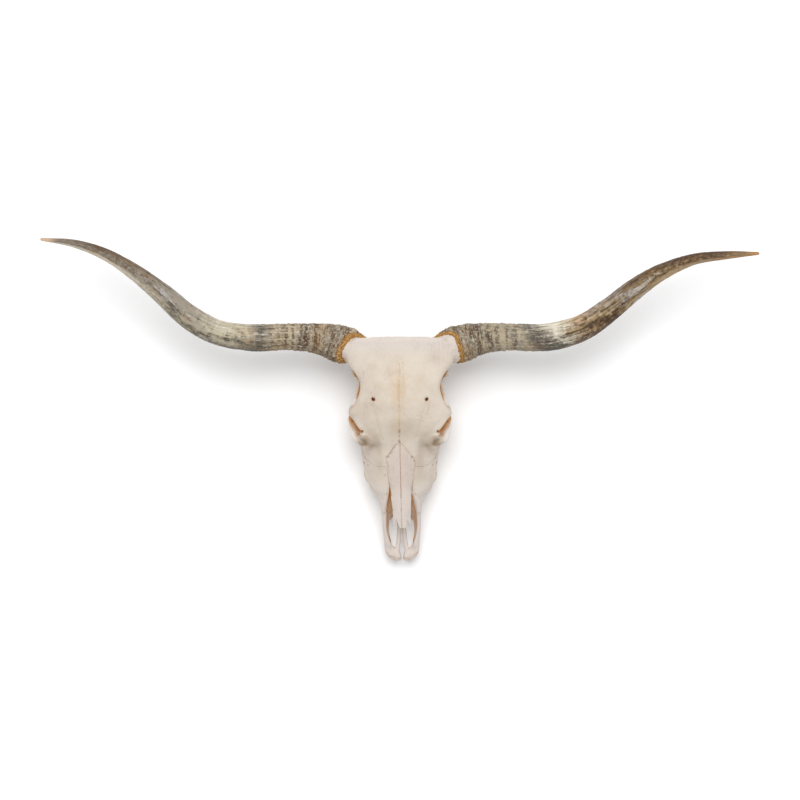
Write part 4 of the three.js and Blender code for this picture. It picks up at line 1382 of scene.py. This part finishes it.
def horn_finish(side):
    """Weathered horn: ringed and flaky at the base, fibrous further out, amber at the rim and the tip."""
    finish, tree, shader = new_finish("horn_" + side)
    zones = HORN_ZONES[side]
    line, places = sheath_line(SHEATH_ROOT + zones["rows"])
    length = places[-1]

    def marks(kind, share):
        stops = []
        for out, tone_name, *strength in zones[kind]:
            run = np.interp(out * MM, line[:len(places), 0], places)
            stops.append((float(run / length), HORN_TONES[tone_name], *strength))
        return ramp(tree, share, stops)

    straight = attribute(tree, "straight", "Vector")
    past_rim = attribute(tree, "past_rim")
    height = attribute(tree, "relief")
    toward_poll = put(tree, "ShaderNodeSeparateXYZ", {0: attribute(tree, "round", "Vector")})
    along = put(tree, "ShaderNodeSeparateXYZ", {0: straight}, output=2)
    drift = (noise(tree, straight, 34.0, 3.0) - 0.5) * 0.045
    share = along / float(length) + drift
    tilted = share + toward_poll * (0.03 if side == "left" else 0.008)
    ground, _ = marks("ground", tilted)
    dark, dark_share = marks("dark", tilted)
    light, light_share = marks("light", tilted)
    poll, poll_share = marks("poll edge", share)
    muzzle, muzzle_share = marks("muzzle edge", share)
    base = along.step(0.10, 0.19).inverse()
    outer = base.inverse()
    inner = along.step(0.25, 0.29) * along.step(0.42, 0.52).inverse()
    fibre_place = stretched(tree, straight, (1.0, 1.0, 0.08))
    other_place = stretched(tree, straight, (-0.8, -0.8, 0.1))
    ring_place = stretched(tree, straight, (0.1, 0.1, 1.0))
    far = along.step(0.42, 0.60)
    specks = noise(tree, straight, 330.0, 3.0, 0.75)
    spots = noise(tree, straight, 75.0, 4.0, 0.65)
    grit = noise(tree, stretched(tree, straight, (1.0, 1.0, 0.5)), 210.0, 4.0, 0.8)
    dark_fibres = noise(tree, fibre_place, 130.0, 5.0, 0.78)
    dark_fibres = dark_fibres * (far * -0.75 + 1.0) + (grit * 0.75 + spots * 0.25) * far * 0.75
    light_fibres = noise(tree, other_place, 190.0, 5.0, 0.78)
    light_fibres = light_fibres * (far * -0.6 + 1.0) + grit.inverse() * far * 0.6
    dark_rings = noise(tree, ring_place, 370.0, 4.0, 0.8)
    light_rings = noise(tree, stretched(tree, ring_place, (-1.1, -1.1, -1.1)), 390.0, 4.0, 0.8)
    blotch = spots * inner * 0.35
    fibrous = outer - inner * 0.35
    dark_grain = (dark_fibres * 0.8 + specks * 0.2) * fibrous + blotch
    dark_grain = dark_grain + (dark_rings * 0.75 + specks * 0.25) * base
    light_grain = (light_fibres * 0.8 + specks * 0.2) * fibrous + spots.inverse() * inner * 0.35
    light_grain = light_grain + (light_rings * 0.75 + specks.inverse() * 0.25) * base
    lean_dark = toward_poll * inner * -0.05
    poll_band = toward_poll.step(0.0, 0.75)
    muzzle_band = (-toward_poll).step(far * 0.3, far * -0.1 + 0.8)
    tone = blend(tree, poll_share * poll_band, ground, poll)
    tone = blend(tree, muzzle_share * muzzle_band, tone, muzzle)
    stain = noise(tree, stretched(tree, straight, (1.0, 1.0, 0.5)), 60.0, 5.0, 0.75)
    tone = blend(tree, stain.step(0.50, 0.72) * 0.5, tone, colour("9c6d3a"))
    clean = muzzle_band * far * -0.75 + 1.0
    dark_mark = (dark_grain + lean_dark + (dark_share - 0.5) * 0.25 - height * 0.05).step(0.46, 0.60)
    tone = blend(tree, dark_mark * clean, tone, dark)
    light_mark = (light_grain - lean_dark + (light_share - 0.5) * 0.25 + height * 0.05).step(0.48, 0.63)
    dulled = poll_band * along.step(0.33, 0.45) * -0.65 + 1.0
    tone = blend(tree, light_mark * dulled * 0.95, tone, light)
    crevice = (-height).step(0.3, 1.6)
    tone = blend(tree, crevice * (base * -0.35 + 0.7), tone, colour("453222"))
    rim_width = toward_poll.step(0.0, 0.6) * 0.009 + (7.0 if side == "left" else 10.0) * MM
    amber = (past_rim + (specks - 0.5) * 0.012 - rim_width).step(-0.002, 0.004).inverse()
    layers = noise(tree, vector(tree, past_rim, spots * 0.02, 0.0), 430.0, 2.0) * 0.55 + specks * 0.45
    amber_tone = blend(tree, layers.step(0.40, 0.50), colour("7c4a12"), colour("b9822f"))
    amber_tone = blend(tree, layers.step(0.53, 0.60), amber_tone, colour("dcc59f"))
    tone = blend(tree, amber * 0.95, tone, amber_tone)
    plug(tree, shader.inputs["Base Color"], tone)
    plug(tree, shader.inputs["Roughness"], specks * 0.3 + base * 0.12 + 0.34)
    shader.inputs["Specular IOR Level"].default_value = 0.22
    relief(tree, shader, light_mark * 0.4 - dark_mark * 0.5 + specks * 0.6, 0.0009)
    return finish


# ---------------------------------------------------------------- cheek teeth
TEETH = [(30, 24, 2, 0), (29, 25, 2, 0), (25, 24, 2, 0), (18, 22, 1, 0), (17, 19, 1, 1.5), (15, 15, 1, 3)]
TOOTH_REAR = (50, -56)
TOOTH_FRONT = (43, -204)
TOOTH_BOW = 5
CROWN = 36  # from the chewing surface up into the jaw


def tooth_form(name, lobes):
    """A cheek tooth one unit long, wide and high: ribbed sides and a chewing surface with enamel folds."""
    around, inward, upward = 72, 15, 9
    turns = np.linspace(0, 2 * math.pi, around, endpoint=False)

    def outline(scale):
        c, s = np.cos(turns), np.sin(turns)
        power = 0.62
        x = 0.5 * np.sign(c) * np.abs(c) ** power
        y = 0.5 * np.sign(s) * np.abs(s) ** power
        pinch = 0.22 * np.exp(-(y / 0.13) ** 2) if lobes == 2 else 0.0
        ribs = 0.035 * np.cos(y * (6.5 if lobes == 2 else 3.2) * math.pi)
        x = x * (1 - pinch) + np.where(x > 0, ribs, -ribs * 0.4)
        return x * scale, y * scale

    points, folds, necks = [], [], []
    for k in range(upward):
        share = 1 - k / (upward - 1)
        x, y = outline(0.96 + 0.04 * (1 - abs(share - 0.4)))
        points += list(zip(x, y, np.full(around, share)))
        folds += [0.0] * around
        necks += [max(0.0, 1 - abs(share - 0.62) * 4)] * around
    for k in range(1, inward):
        scale = 1 - k / inward
        x, y = outline(scale)
        rim = np.exp(-((scale - 0.93) / 0.07) ** 2)
        centres = [-0.24, 0.24] if lobes == 2 else [0.0]
        near = np.min([np.hypot(x * 1.5 - 0.06 * np.cos(y * 20), (y - at) * (2.0 if lobes == 2 else 1.3))
                       for at in centres], axis=0)
        fold = np.exp(-((near - 0.2) / 0.05) ** 2)
        height = 1 - np.clip(rim + fold, 0, 1)
        points += list(zip(x, y, height * 0.05))
        folds += list(height)
        necks += [0.0] * around
    rows = upward + inward - 1
    points += [(0.0, 0.0, 0.05), (0.0, 0.0, 1.0)]
    folds += [1.0, 0.0]
    necks += [0.0, 0.0]
    bottom, top = rows * around, rows * around + 1
    last = bottom - around
    faces = []
    for k in range(0, around, 2):
        n, m = k + 1, (k + 2) % around
        faces.append((top, k, n, m))
        faces.append((last + k, bottom, last + m, last + n))
    for r in range(rows - 1):
        for k in range(around):
            n = (k + 1) % around
            faces.append((r * around + k, (r + 1) * around + k, (r + 1) * around + n, r * around + n))
    piece = new_piece(name, np.array(points), np.array(faces))
    carry(piece, "fold", folds)
    carry(piece, "neck", necks)
    return piece


def tooth_row_tree():
    """Sets one tooth on each point of a row, with the point's own size, turn and kind."""
    sizes = [("Molar", "Object"), ("Premolar", "Object"), ("Material", "Material")]
    tree, given, result = new_shape_tree("row of cheek teeth", sizes)
    points = put(tree, "GeometryNodeMeshToPoints", {"Mesh": given["Geometry"]})
    size = kept_value(tree, "size", "FLOAT_VECTOR")
    angle = kept_value(tree, "turned")
    kind = kept_value(tree, "lobes")
    rows = []
    join = tree.nodes.new("GeometryNodeJoinGeometry")
    for label, test in (("Molar", "GREATER_THAN"), ("Premolar", "LESS_THAN")):
        form = put(tree, "GeometryNodeObjectInfo", {"Object": given[label]}, output=4)
        chosen = put(tree, "FunctionNodeCompare", {0: kind, 1: 1.5}, data_type="FLOAT", operation=test)
        inputs = {"Points": points, "Selection": chosen, "Instance": form, "Scale": size,
                  "Rotation": vector(tree, 0.0, 0.0, angle)}
        row = put(tree, "GeometryNodeInstanceOnPoints", inputs)
        tree.links.new(row.socket, join.inputs[0])
    finish_tree(tree, result, Flow(tree, join.outputs[0]), given["Material"])
    return tree


def make_teeth(finish):
    """The two rows of six cheek teeth."""
    molar = tooth_form("molar form", 2)
    premolar = tooth_form("premolar form", 1)
    tree = tooth_row_tree()
    lengths = np.array([t[0] for t in TEETH], float)
    lengths *= (TOOTH_REAR[1] - TOOTH_FRONT[1]) / lengths.sum()
    middles = np.cumsum(lengths) - lengths / 2
    for side, sign in SIDES:
        places, sizes, turns, kinds = [], [], [], []
        for (_, width, lobes, short), length, run in zip(TEETH, lengths, middles):
            share = run / lengths.sum()
            x = TOOTH_REAR[0] + (TOOTH_FRONT[0] - TOOTH_REAR[0]) * share
            x += TOOTH_BOW * math.sin(math.pi * share)
            y = TOOTH_REAR[1] - run
            x += MUZZLE_LEAN * max(0, (LEAN_STARTS - y) / LEAN_RUN) * sign
            places.append((x * sign, y, short))
            sizes += [width * sign * MM, (length + 0.4) * MM, CROWN * MM]
            turns.append(sign * (0.05 - TOOTH_BOW * math.pi * math.cos(math.pi * share) / 148))
            kinds.append(float(lobes))
        mesh = bpy.data.meshes.new("teeth")
        mesh.from_pydata((np.array(places) * MM).tolist(), [], [])
        row = bpy.data.objects.new("cheek_teeth_" + side, mesh)
        bpy.context.scene.collection.objects.link(row)
        mesh.attributes.new("size", "FLOAT_VECTOR", "POINT").data.foreach_set("vector", sizes)
        mesh.attributes.new("turned", "FLOAT", "POINT").data.foreach_set("value", turns)
        mesh.attributes.new("lobes", "FLOAT", "POINT").data.foreach_set("value", kinds)
        row = grow(row, tree, {"Molar": molar, "Premolar": premolar, "Material": finish})
        if sign < 0:
            row.data.flip_normals()
        dress(row, finish, "upper_jaw_" + side)
    for form in (molar, premolar):
        bpy.data.objects.remove(form)


# ---------------------------------------------------------------- build
studio()
bone = bone_finish("dry_bone", "ded3c4", "d2c6ba", "d3b48c")
nose_bone = bone_finish("thin_dry_bone", "dbcfc3", "d3c5bc", "d0b18c")
make_cranium(bone)
make_jaws(bone)
make_teeth(enamel_finish())
make_nasals(nose_bone)
make_incisives(nose_bone)
make_horn("left", 1, HORN_LEFT, horn_finish("left"), 3.0)
make_horn("right", -1, HORN_RIGHT, horn_finish("right"), 7.0)
